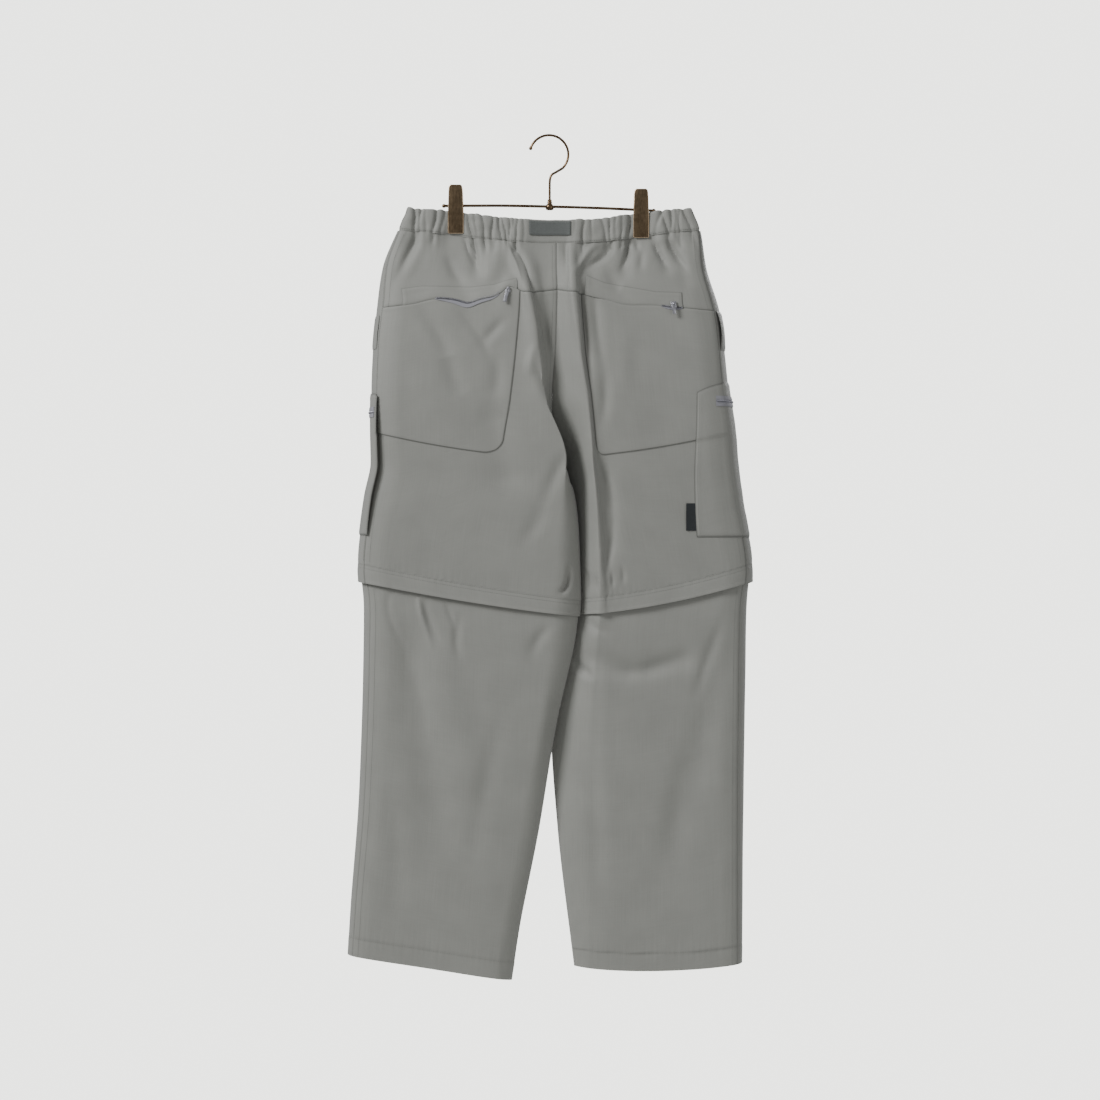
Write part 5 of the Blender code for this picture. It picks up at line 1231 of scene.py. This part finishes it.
def metal(name, colour, worn, roughness, grime, patch_scale):
    """Plated metal: brushed, with darker grime and lighter wear in patches."""
    made, w, shader = principled(name)
    place = w.add("ShaderNodeTexCoord").outputs["Object"]
    patches = w.spread(w.noise(place, patch_scale, PATCH_DETAIL, PATCH_ROUGHNESS), *PATCH_RANGE, 0.0, 1.0)
    brushed = w.noise(w.stretched(place, *BRUSH_SCALE), 1.0, BRUSH_DETAIL)
    streaks = w.spread(brushed, *NOISE_RANGE, 0.0, 1.0)
    mix = w.add("ShaderNodeMix", data_type="RGBA")
    w.join(patches, mix.inputs["Factor"])
    mix.inputs["A"].default_value = (*colour, 1.0)
    mix.inputs["B"].default_value = (*worn, 1.0)
    clean = w.spread(streaks, 0.0, 1.0, 1.0 - grime, 1.0)
    w.join(w.shaded(mix.outputs["Result"], clean), shader.inputs["Base Color"])
    w.join(w.spread(streaks, 0.0, 1.0, roughness, roughness + BRUSH_GLOSS), shader.inputs["Roughness"])
    relief = w.add("ShaderNodeBump")
    relief.inputs["Strength"].default_value = BRUSH_RELIEF
    relief.inputs["Distance"].default_value = BRUSH_DEPTH
    w.join(streaks, relief.inputs["Height"])
    w.join(relief.outputs["Normal"], shader.inputs["Normal"])
    shader.inputs["Metallic"].default_value = 1.0
    return made


def finishes():
    weave = weave_group()
    made = {slot: fabric(weave, *values) for slot, values in FABRICS.items()}
    return made | {slot: metal(*values) for slot, values in METALS.items()}


# Trousers

def make_clothes():
    places = spaced_places()
    yoke = spaced_levels(float(WAIST), float(YOKE), ROW_STEP)
    thigh = spaced_levels(float(YOKE), float(KNEE), ROW_STEP)
    upper = with_seam_levels(np.concatenate((yoke, thigh[1:])), float(YOKE))
    flap = np.linspace(*FLAP_LEVELS, FLAP_GRID_ROWS)
    zip_levels = np.linspace(*ZIP_LEVELS, ZIP_GRID_ROWS)
    lower = spaced_levels(TUCK_START, float(HEM), LOWER_ROW_STEP)
    return {
        "upper": worked_cloth(places, upper, upper_relief),
        "flap": worked_cloth(places, flap, flap_relief),
        "zip": worked_cloth(places, zip_levels, lambda grid, places, levels: ZIP_INSET),
        "lower": worked_cloth(places, lower, lower_relief),
    }


def seat_panels(side, clothes, finish):
    """Yoke, back and front of one side, down to the knee, with their stitch lines."""
    upper = clothes["upper"][side]
    seam = int(np.argmin(np.abs(upper.levels - YOKE)))
    back, front, below = slice(upper.middle, None), slice(0, upper.middle + 1), slice(seam, None)
    trim = SEAM_TRIM + CROTCH_TRIM * bump(upper.levels, CROTCH, CROTCH_TRIM_REACH)
    # Painted shade on the right back panel, deep between the legs
    shadow = crotch_painted_shade(side, upper.levels[below], upper.places[back])
    panel(f"yoke_{side}", upper, slice(0, seam + 1), back, finish, shaded="blr")
    panel(f"back_{side}", upper, below, back, finish, side_trim=trim[below], shaded="tlr", valley=shadow)
    panel(f"front_{side}", upper, slice(None), front, finish, side_trim=trim)
    rows = np.arange(2.0, len(upper.grid) - 2)
    for distance in SEAT_STITCHES:
        stitch("seat", upper, rows, columns_off(upper, rows, upper.middle, distance))
    if side == "left":
        above = rows[rows < upper.row_of(CROTCH) - CENTRE_STITCH_ROWS]
        stitch("seat", upper, above, columns_off(upper, above, -1, -CENTRE_STITCH))
    columns = np.arange(upper.middle + 1.0, len(upper.places) - 1)
    stitch("seat", upper, seam - YOKE_STITCH_ROWS, columns)


def edged(values, step):
    """Even values with two more close to each end, for a crisp edge."""
    low, high, second = values[0], values[-1], EDGE_SECOND * step
    return np.sort(np.concatenate((values, (low + step, low + second, high - step, high - second))))


def crotch_painted_shade(side, levels, places):
    """Painted shade deep between the legs, where the left one overhangs the right."""
    if side == "left":
        return 0.0
    down = ease(*CROTCH_PAINTED_SHADE_START, levels) * (1 - ease(*CROTCH_PAINTED_SHADE_END, levels))
    return CROTCH_PAINTED_SHADE * down[:, None] * ease(*CROTCH_PAINTED_SHADE_PLACES, places)[None]


def rounded_corner(u, v, width, height, radius_u, radius_v):
    """A rectangle's points, moved so that its far corner is rounded off."""
    a = np.clip((u - (width - radius_u)) / radius_u, 0, 1)
    b = np.clip((v - (height - radius_v)) / radius_v, 0, 1)
    return (
        np.where(a > 0, width - radius_u + radius_u * a * np.sqrt(1 - b**2 / 2), u),
        np.where(b > 0, height - radius_v + radius_v * b * np.sqrt(1 - a**2 / 2), v),
    )


def back_pocket(side, clothes, finish):
    """The patch pocket on the back, the stitched placket over its mouth, and the zip that shows."""
    for make in (pouch, placket, back_zip):
        make(side, clothes["upper"][side], finish)


def pouch(side, upper, finish):
    top, foot = upper.row_of(YOKE) + POUCH_BELOW_SEAM, upper.row_of(CROTCH)
    first, last = upper.column_of(POUCH_FROM), upper.column_of(POCKET_EDGE)
    width, height = last - first, foot - top
    step_down, step_across = lengths(upper.grid)
    across_size = (step_across[int(foot), int(last)] - step_across[int(foot), int(first)]) / width
    down_size = (step_down[int(foot), int(last)] - step_down[int(top), int(last)]) / height
    u, v = np.meshgrid(
        edged(np.linspace(0, width, POUCH_GRID[0]), EDGE_STEP / across_size),
        edged(np.linspace(0, height, POUCH_GRID[1]), EDGE_STEP / down_size),
    )
    u, v = rounded_corner(u, v, width, height, CORNER_RADIUS / across_size, CORNER_RADIUS / down_size)
    rows, columns = top + v, first + u
    points = sample(upper.grid, rows, columns)
    distance = edge_distance(points, "br")
    cell_x, cell_z = POUCH_RIPPLE_CELL
    noise = lattice_noise(points[..., 0] / cell_x, points[..., 2] / cell_z, SEED + 20)
    ripples = POUCH_RIPPLE * noise * ease(*POUCH_RIPPLE_START, distance)
    patch(
        f"back_pocket_{side}", upper, rows, columns, finish, shaded="br",
        relief=POUCH_EDGE * ease(0.0, POUCH_EDGE_WIDTH, distance) - POUCH_SINK + ripples,
    )


def placket(side, upper, finish):
    seam = upper.row_of(YOKE)
    start, end = (upper.column_at(seam, x) for x in PLACKET_X[side])
    columns = start + (end - start) * edged(np.linspace(0, 1, PLACKET_GRID[0]), PLACKET_EDGES[0])
    seam_x, _, seam_z = sample(upper.grid, seam, columns).T
    bottom = upper.rows_at(columns, seam_z + PLACKET_ABOVE_SEAM)
    head = upper.rows_at(columns, np.interp(seam_x, *np.array(PLACKET_TOP[side]).T))
    share = edged(np.linspace(0, 1, PLACKET_GRID[1]), PLACKET_EDGES[1])[:, None]
    rows = head[None] + (bottom - head)[None] * share
    columns = np.broadcast_to(columns, rows.shape)
    lift = np.zeros_like(rows)
    for centre, reach, rise in PLACKET_LIFTS[side]:
        lift += rise * bump(seam_x, centre, reach)[None] * share**PLACKET_LIFT_POWER
    distance = edge_distance(sample(upper.grid, rows, columns), "tlr")
    patch(
        f"back_placket_{side}", upper, rows, columns, finish, lift=PLACKET_LIFT + lift,
        relief=edge_relief(distance, PLACKET_STITCH, PLACKET_PUFF), shaded="tl", depth=PLACKET_SHADE,
    )


def back_zip(side, upper, finish):
    seam = upper.row_of(YOKE)
    count, tall = BACK_TAPE_GRID
    columns = np.linspace(*(upper.column_at(seam, x) for x in BACK_TAPE_X[side]), count)
    seam_z = sample(upper.grid[..., 2:], seam, columns)[:, 0]
    bow = np.sin(np.linspace(0, math.pi, count))
    depth = BACK_TAPE_LEAST + (BACK_TAPE_DEPTH[side] - BACK_TAPE_LEAST) * bow
    head, foot = (upper.rows_at(columns, seam_z - below) for below in (BACK_TAPE_START, depth))
    rows = between(head, foot, tall)
    tape = patch(
        f"back_zip_{side}", upper, rows, np.broadcast_to(columns, rows.shape), finish, "zip_tape",
        lift=PATCH_CLOTH + LAY_GAP,
    )
    teeth(tape, BACK_TEETH_ROW, BACK_TEETH_LIFT)


def cargo_pocket(side, clothes, finish):
    """The cargo pocket round the side seam, stitched along its edges, and its zip."""
    upper, cargo = clothes["upper"][side], CARGO[side]
    count, tall = CARGO_GRID
    across, down = np.linspace(0, 1, count), np.linspace(0, 1, tall)[:, None]
    if cargo["x"] is None:
        ends = [upper.column_of(cargo["place"])] * 2
    else:
        ends = [upper.spot(cargo["x"], z)[1] for z in (cargo["top"] - cargo["drop"], cargo["bottom"])]
    first = upper.column_of(CARGO_FRONT_PLACE)
    columns = first + (ends[0] + (ends[1] - ends[0]) * down - first) * across
    top_edge = cargo["top"] - cargo["drop"] * np.abs(2 * across - 1) ** CARGO_TOP_POWER
    head, bottom = upper.rows_at(columns[0], top_edge), upper.rows_at(columns[-1], cargo["bottom"])
    rows = between(head, bottom, tall)
    over_pocket = ease(1, -1, rows - upper.row_of(CROTCH)) * ease(-3, 1, columns - upper.column_of(0.0))
    distance = edge_distance(sample(upper.grid, rows, columns))
    pocket = patch(
        f"cargo_pocket_{side}", upper, rows, columns, finish, shaded="btr", depth=CARGO_SHADE,
        lift=cargo_lift(cargo, across, down) + (PATCH_CLOTH + LAY_GAP + CARGO_CLEAR) * over_pocket,
        relief=edge_relief(distance, CARGO_EDGE_STITCH),
    )
    for inset in CARGO_SIDE_STITCHES:
        stitch("pockets", pocket, np.arange(2.0, tall - 2), count - 1.0 - inset, POCKET_STITCH_LIFT)
    for row in (CARGO_END_STITCH, tall - 1.0 - CARGO_END_STITCH):
        stitch("pockets", pocket, row, np.arange(2.0, count - 2), POCKET_STITCH_LIFT)
    cargo_zip(side, pocket, finish)


def cargo_lift(cargo, across, down):
    """How far the pocket stands off the leg: puffed in its middle, folded at its back edge."""
    puff = cargo["puff"] * (np.sin(math.pi * down) * np.sin(math.pi * across)) ** CARGO_PUFF_POWER
    across_power, down_power = CARGO_FOLD_POWERS
    start, span = CARGO_FOLD_SPAN
    return puff + cargo["fold"] * across**across_power * np.sin(math.pi * (start + span * down)) ** down_power


def cargo_zip(side, pocket, finish):
    count, tall = CARGO_TAPE_GRID
    start, end = (share * (CARGO_GRID[0] - 1.0) for share in CARGO_ZIP_ENDS[side])
    columns = np.linspace(start, end, count)
    line = CARGO[side]["top"] - CARGO_ZIP_DROP
    rows = between(pocket.rows_at(columns, line), pocket.rows_at(columns, line - CARGO_ZIP_HEIGHT), tall)
    down = np.linspace(-1, 1, tall)[:, None] * CARGO_ZIP_HEIGHT / 2
    (dip, dip_width), (rim, rim_at, rim_width) = CARGO_TAPE_DIP, CARGO_TAPE_RIM
    tape = patch(
        f"cargo_zip_{side}", pocket, rows, np.broadcast_to(columns, rows.shape), finish, "zip_tape",
        relief=-dip * bump(down, 0, dip_width) + rim * bump(np.abs(down), rim_at, rim_width), base=0.0,
    )
    teeth(tape, CARGO_TEETH_ROW, CARGO_TEETH_LIFT)


def hand_pocket(side, clothes, finish):
    """The welt over the hand pocket's mouth, in front of the side seam."""
    upper = clothes["upper"][side]
    count, tall = WELT_GRID
    columns = np.linspace(*(upper.column_of(place) for place in WELT_PLACES), count)
    rows = between(*(upper.rows_at(columns, z) for z in WELT_Z[side]), tall)
    down_power, across_power = WELT_SWELL
    share = np.linspace(0, 1, tall)[:, None]
    swell = np.sin(math.pi * share) ** down_power * np.linspace(0, 1, count) ** across_power
    columns = np.broadcast_to(columns, rows.shape)
    distance = edge_distance(sample(upper.grid, rows, columns))
    welt = patch(
        f"hand_pocket_welt_{side}", upper, rows, columns, finish, lift=WELT_LIFT[side] * swell,
        relief=edge_relief(distance, WELT_STITCH, WELT_PUFF),
    )
    for column in (count - 2.0, 1.0):
        stitch("pockets", welt, np.arange(1.0, tall - 1), column, POCKET_STITCH_LIFT)


def label_tab(clothes, finish):
    """The bare woven tab sewn into the right cargo pocket's back edge."""
    upper = clothes["upper"]["right"]
    (a, b), (c, d) = [[upper.spot(x, z) for x in reversed(LABEL_X)] for z in LABEL_Z]
    u, v = np.linspace(0, 1, LABEL_GRID[0])[None], np.linspace(0, 1, LABEL_GRID[1])[:, None]
    rows, columns = (
        (a[k] * (1 - u) + b[k] * u) * (1 - v) + (c[k] * (1 - u) + d[k] * u) * v for k in (0, 1)
    )
    curl = LABEL_CURL * u**2 * (0.5 + 0.5 * np.sin(LABEL_WAVE[0] * v + LABEL_WAVE[1]))
    distance = edge_distance(sample(upper.grid, rows, columns))
    patch(
        "label_tab", upper, rows, columns, finish, "label", lift=curl,
        relief=-LABEL_EDGE * bump(distance, 0, LABEL_EDGE_WIDTH),
    )


def legs(side, clothes, finish):
    """The knee flap over the zip, and the lower leg that the zip takes off."""
    flap, lower = clothes["flap"][side], clothes["lower"][side]
    down, _ = lengths(lower.grid)
    from_hem = down[-1] - down
    thick = np.where((from_hem < HEM_HEIGHT).mean(axis=1) > 0.5, HEM_CLOTH, CLOTH)
    for face, columns in (("back", slice(flap.middle, None)), ("front", slice(0, flap.middle + 1))):
        panel(f"zip_flap_{face}_{side}", flap, slice(None), columns, finish)
        # Painted shade along the hem's stitch groove
        hem = HEM_SHADE * bump(from_hem[:, columns], HEM_HEIGHT, HEM_SHADE_WIDTH)
        panel(
            f"lower_leg_{face}_{side}", lower, slice(None), columns, finish, thickness=thick,
            depth=LEG_SHADE, valley=hem,
        )


def knee_lines(side, clothes, finish):
    """The stitch lines of the flap, the hem and the lower side seam, and the ring of zip tape."""
    flap, lower, tape = (clothes[span][side] for span in ("flap", "lower", "zip"))
    columns = np.arange(1.0, len(flap.places) - 1)
    for distance in FLAP_STITCHES:
        stitch("legs", flap, rows_down(flap, columns, distance), columns)
    stitch("legs", lower, rows_down(lower, columns, -HEM_HEIGHT), columns)
    rows = np.arange(4.0, len(lower.grid) - 1)
    stitch("legs", lower, rows, columns_off(lower, rows, lower.middle, SEAT_STITCHES[0]))
    outer = trimmed(tape.grid, np.full(len(tape.grid), SEAM_TRIM))
    obj = grid_mesh(f"knee_zip_{side}", outer, outer - tape.normals * TAPE, tape.facing, finish["zip_tape"])
    sewn(placed(obj, "zip_tape", f"knee_zip_{side}"))


# Waistband

def band_middle(end):
    """The band's middle surface on one face, from side seam to side seam."""
    levels = np.linspace(TOP, WAIST, BAND_ROWS + 1)
    halves = []
    for side in SIDES:
        def reach(places):
            line = middle_grid(side, places, np.array([BAND_PROBE]))[0, :, 0]
            return np.abs(line - line[0])

        halves.append(middle_grid(side, spaced(0.0, end, BAND_STEP, reach, FINE), levels))
    left, right = halves
    return np.concatenate((left, right[:, ::-1][:, 1:]), axis=1)


def band_calm(face, x):
    """0 where a clip or the webbing presses the band flat, 1 where its gathers are free."""
    calm = np.ones_like(x)
    for clip in CLIP_X.values():
        calm *= 1 - np.exp(-(((x - clip) / CLIP_CALM) ** 4))
    if face == "back":
        calm *= 1 - WEBBING_HOLD * np.exp(-(((x - WEBBING_CENTRE) / WEBBING_CALM) ** 6))
    return calm


def waistband(finish):
    """The gathered band, back and front, and the webbing sewn across its middle."""
    share = np.linspace(0, 1, BAND_ROWS + 1)[:, None]
    top, top_width = BAND_TOP
    groove, groove_at, groove_width = BAND_GROOVE
    foot, foot_width = BAND_FOOT
    for face, end, facing, table in (("back", 1.0, -1, BACK_GATHERS), ("front", -1.0, 1, FRONT_GATHERS)):
        grid = band_middle(end)
        normals, x = grid_normals(grid, facing), grid[..., 0]
        calm, sink = band_calm(face, x), gather_sink(table, x, share)
        raised = (GATHER_PUFF - sink) * calm
        cell_x, cell_share = BAND_NOISE_CELL
        raised += BAND_NOISE * lattice_noise(x / cell_x, share * cell_share, SEED + 31) * calm
        height = share * BAND_HEIGHT
        raised -= top * bump(height, 0, top_width) + groove * bump(height, groove_at, groove_width)
        raised -= foot * bump((1 - share) * BAND_HEIGHT, 0, foot_width)
        grid = trimmed(grid, np.full(len(grid), SEAM_TRIM))
        wave = lattice_noise(x[:1] / BAND_EDGE_CELL, x[:1] * 0, SEED + 33)
        wave = BAND_EDGE_WAVE * wave * (1 - share) ** 3 * calm
        grid[..., 2] += wave - BAND_DIP * sink * (1 - share) ** 4 * calm
        depth = np.minimum(raised, BAND_MOST)
        outer = grid + normals * (BAND_CLOTH / 2 + depth)[..., None]
        follow = np.clip(depth, BAND_LEAST, 0.0)[..., None]
        inner = grid + normals * (follow - BAND_CLOTH / 2)
        obj = grid_mesh(f"waistband_{face}", outer, inner, facing, finish["nylon"])
        sewn(placed(obj, "nylon", f"waistband_{face}"))
        band = Surface(outer, facing)
        columns = np.arange(2.0, grid.shape[1] - 2)
        stitch("seat", band, BAND_ROWS - BAND_STITCH_ROWS, columns, BAND_STITCH_LIFT)
        if face == "back":
            webbing(band, x, finish)


def webbing(band, x, finish):
    """The ribbed webbing sewn over the middle of the band's back."""
    rows = np.linspace(*WEBBING_ROWS, WEBBING_GRID[1]) * BAND_ROWS
    wanted = WEBBING_CENTRE + np.linspace(-WEBBING_HALF, WEBBING_HALF, WEBBING_GRID[0])
    steps = np.arange(x.shape[1])
    columns = np.array([np.interp(wanted, sample(x[..., None], row, steps)[:, 0], steps) for row in rows])
    rows = np.broadcast_to(rows[:, None], columns.shape)
    points = sample(band.grid, rows, columns)
    down, _ = lengths(points)
    ribs = RIB_HEIGHT * np.sin(2 * math.pi * down / RIB_PITCH)
    edge = WEBBING_PUFF * bump(edge_distance(points), 0, WEBBING_EDGE)
    patch(
        "webbing_patch", band, rows, columns, finish, "webbing", relief=WEBBING_PUFF + ribs - edge,
        lift=WEBBING_LIFT, base=0.0,
    )


# Hanger

def rod(name, path, radii, finish, slot, node):
    """A round wire along a path in the XZ plane, with a radius at each point."""
    curve = bpy.data.curves.new(name, "CURVE")
    curve.dimensions = "3D"
    curve.bevel_depth = MM
    curve.bevel_resolution = WIRE_ROUNDING
    curve.use_fill_caps = True
    spline = curve.splines.new("POLY")
    spline.points.add(len(path) - 1)
    for point, (x, z), radius in zip(spline.points, path, radii):
        point.co = (x * MM, 0.0, z * MM, 1.0)
        point.radius = radius
    holder = bpy.data.objects.new(name, curve)
    bpy.context.scene.collection.objects.link(holder)
    bpy.context.view_layer.update()
    data = bpy.data.meshes.new_from_object(holder.evaluated_get(bpy.context.evaluated_depsgraph_get()))
    bpy.data.objects.remove(holder)
    weld(data)
    obj = finished(name, data, finish)
    return placed(obj, slot, *node)


def weld(data):
    mesh = bmesh.new()
    mesh.from_mesh(data)
    bmesh.ops.remove_doubles(mesh, verts=mesh.verts, dist=WELD)
    bmesh.ops.recalc_face_normals(mesh, faces=mesh.faces)
    mesh.to_mesh(data)
    mesh.free()


def bead_radius(distance, bead, wire):
    """The radius of a wire that ends in a bead, at a distance from its tip."""
    round_part = math.sqrt(max(0.0, bead**2 - (bead - distance) ** 2))
    return max(round_part, wire if distance > bead else 0.0)


def hook_point(along):
    """A point of the hook's arc, at a length along it from its tip."""
    angle = HOOK_START - along / HOOK_RADIUS
    return HOOK_RADIUS * math.cos(angle), HOOK_CENTRE + HOOK_RADIUS * math.sin(angle)


def hanger(finish):
    """The hook with its stem, the crossbar with beads at its ends, and the ferrule between them."""
    wire = finish["hanger_wire"]
    steps = [TIP_RADIUS * step for step in BEAD_STEPS]
    steps += list(np.arange(steps[-1] + 1.0, (HOOK_START - HOOK_END) * HOOK_RADIUS, HOOK_STEP))
    path = [hook_point(along) for along in steps]
    radii = [bead_radius(along, TIP_RADIUS, WIRE_RADIUS) for along in steps]
    count = len(STEM_POINTS)
    stem = smooth_curve(np.arange(count + 1), [path[-1], *STEM_POINTS], np.linspace(0, count, STEM_STEPS)[1:])
    path += [tuple(point) for point in stem]
    radii += [WIRE_RADIUS] * len(stem)
    rod("hanger_hook_wire", path, radii, wire, "hanger_wire", ["hanger_hook"])

    low, high = BAR_X[0], BAR_X[-1]
    beads = [BAR_END_RADIUS * step for step in BEAD_STEPS]
    reach = [low + along for along in beads]
    reach += list(np.arange(low + BAR_FROM_ENDS[0], high - BAR_FROM_ENDS[1], BAR_STEP))
    reach += [high - along for along in reversed(beads)]
    heights = smooth_curve(BAR_X, [[z] for z in BAR_Z], reach)[:, 0]
    radii = [bead_radius(min(x - low, high - x), BAR_END_RADIUS, BAR_RADIUS) for x in reach]
    rod("hanger_crossbar", list(zip(reach, heights)), radii, wire, "hanger_wire", ["hanger_bar"])
    turned("hanger_ferrule", FERRULE_PROFILE, STEM_POINTS[-1][0], wire)


def turned(name, profile, x, finish):
    """A profile, given as (radius, height), turned about an upright axis."""
    count = FERRULE_STEPS
    angles = np.linspace(0, 2 * math.pi, count, endpoint=False)
    points = [((x + r * math.cos(a)) * MM, r * math.sin(a) * MM, z * MM) for r, z in profile for a in angles]
    faces = []
    for k in range(0, (len(profile) - 1) * count, count):
        for j in range(count):
            n = (j + 1) % count
            faces.append((k + j, k + count + j, k + count + n, k + n))
    data = bpy.data.meshes.new(name)
    data.from_pydata(points, [], faces)
    weld(data)
    placed(finished(name, data, finish, FERRULE_SHARP), "hanger_wire")


def rounded_copy(node, finish, slot, width, body=BODY, edge_finish=None, longer=0.0):
    """A CAD piece with its edges rounded off; the rounding may have a finish of its own."""
    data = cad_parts[node].data.copy()
    mesh = bmesh.new()
    mesh.from_mesh(data)
    bmesh.ops.remove_doubles(mesh, verts=mesh.verts, dist=WELD)
    flat = math.radians(FLAT_UNDER)
    bmesh.ops.dissolve_limit(mesh, angle_limit=flat, verts=mesh.verts, edges=mesh.edges)
    for vert in mesh.verts:
        if vert.co.z < CLIP_GRIP_Z * MM:
            vert.co.z -= longer * MM
    least = math.radians(ROUNDED_FROM)
    sharp = [e for e in mesh.edges if len(e.link_faces) == 2 and e.calc_face_angle() > least]
    for face in mesh.faces:
        face.material_index = 0
    made = bmesh.ops.bevel(
        mesh, geom=sharp, offset=width * MM, segments=ROUNDING_STEPS, profile=0.5, affect="EDGES",
        clamp_overlap=True,
    )
    for face in made["faces"] if edge_finish else []:
        face.material_index = 1
    worn = [face.material_index for face in mesh.faces]
    mesh.to_mesh(data)
    mesh.free()
    obj = finished(node, data, finish[slot], CLIP_SHARP)
    if edge_finish:
        obj.data.materials.append(edge_finish)
        obj.data.polygons.foreach_set("material_index", worn)
    return placed(obj, slot, node, body=body)


def hardware(finish):
    for side in SIDES:
        for face in ("back", "front"):
            rounded_copy(
                f"clip_jaw_{face}_{side}", finish, "clip_brass", JAW_ROUNDING,
                edge_finish=finish["clip_edge"], longer=CLIP_LONGER,
            )
        rounded_copy(f"clip_spring_{side}", finish, "clip_brass", SPRING_ROUNDING)
        rounded_copy(f"back_slider_{side}", finish, "zip_metal", SLIDER_ROUNDING)
        rounded_copy(f"back_pull_{side}", finish, "zip_metal", PULL_ROUNDING, body=f"pull_{side}")


# Floor, lights and camera

def area_light(name, place, aim, size, watts):
    light = bpy.data.lights.new(name, "AREA")
    light.shape = "RECTANGLE"
    light.size = light.size_y = size
    light.energy = watts
    obj = bpy.data.objects.new(name, light)
    obj.location = place
    obj.rotation_euler = (Vector(aim) - Vector(place)).to_track_quat("-Z", "Y").to_euler()
    bpy.context.scene.collection.objects.link(obj)


def studio():
    world = bpy.data.worlds.new("studio")
    world.use_nodes = True
    bpy.context.scene.world = world
    w = Wiring(world.node_tree)
    shader = world.node_tree.nodes["Background"]
    shader.inputs["Color"].default_value = ROOM_COLOUR
    shader.inputs["Strength"].default_value = ROOM_LIGHT
    backdrop = w.add("ShaderNodeBackground")
    backdrop.inputs["Color"].default_value = BACKDROP_COLOUR
    backdrop.inputs["Strength"].default_value = BACKDROP_LIGHT
    mix, path = w.add("ShaderNodeMixShader"), w.add("ShaderNodeLightPath")
    w.join(path.outputs["Is Camera Ray"], mix.inputs["Fac"])
    w.join(shader.outputs["Background"], mix.inputs[1])
    w.join(backdrop.outputs["Background"], mix.inputs[2])
    w.join(mix.outputs["Shader"], world.node_tree.nodes["World Output"].inputs["Surface"])

    for values in LIGHTS:
        area_light(*values)

    bpy.ops.mesh.primitive_circle_add(
        vertices=FLOOR_SIDES, radius=FLOOR_RADIUS, fill_type="NGON", location=FLOOR_PLACE,
    )
    floor = bpy.context.object
    floor.name = "floor"
    paper, w, shader = principled("pale floor")
    place = w.add("ShaderNodeTexCoord").outputs["Object"]
    distance = w.add("ShaderNodeVectorMath", operation="LENGTH")
    w.join(place, distance.inputs[0])
    grain = w.spread(w.noise(place, FLOOR_GRAIN_SCALE), 0.0, 1.0, FLOOR_GRAIN, 1.0)
    w.join(w.shaded(FLOOR_COLOUR, grain), shader.inputs["Base Color"])
    shader.inputs["Roughness"].default_value = FLOOR_ROUGHNESS
    w.join(w.spread(distance.outputs["Value"], *FLOOR_FADE, 1.0, 0.0), shader.inputs["Alpha"])
    floor.data.materials.append(paper)
    floor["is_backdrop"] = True


def camera():
    lens = bpy.data.cameras.new("camera")
    lens.sensor_width = SENSOR
    lens.lens = SENSOR * CAMERA_DISTANCE / PHOTO_WIDTH
    obj = bpy.data.objects.new("camera", lens)
    obj.location = (CAMERA_X, -CAMERA_DISTANCE, CAMERA_HEIGHT)
    obj.rotation_euler = (math.pi / 2, 0.0, 0.0)
    bpy.context.scene.collection.objects.link(obj)
    bpy.context.scene.camera = obj


def main():
    finish = finishes()
    clothes = make_clothes()
    waistband(finish)
    for side in SIDES:
        for make in (seat_panels, back_pocket, hand_pocket, cargo_pocket, legs, knee_lines):
            make(side, clothes, finish)
    label_tab(clothes, finish)
    tree = line_tree()
    thread = (STITCH_PITCH, STITCH_LENGTH, STITCH_THICK, finish["thread"], "nylon")
    for group, lines in STITCH_LINES.items():
        sewn_line(f"stitching_{group}", tree, lines, *thread)
    tooth = (TOOTH_PITCH, TOOTH_THICK, TOOTH_LENGTH, finish["tooth"], "zip_tape")
    sewn_line("zip_teeth", tree, TOOTH_LINES, *tooth)
    hanger(finish)
    hardware(finish)
    camera()
    studio()


main()
{"cad": [list(corner) for corner in cad_box], "visual": [list(corner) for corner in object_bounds()]}
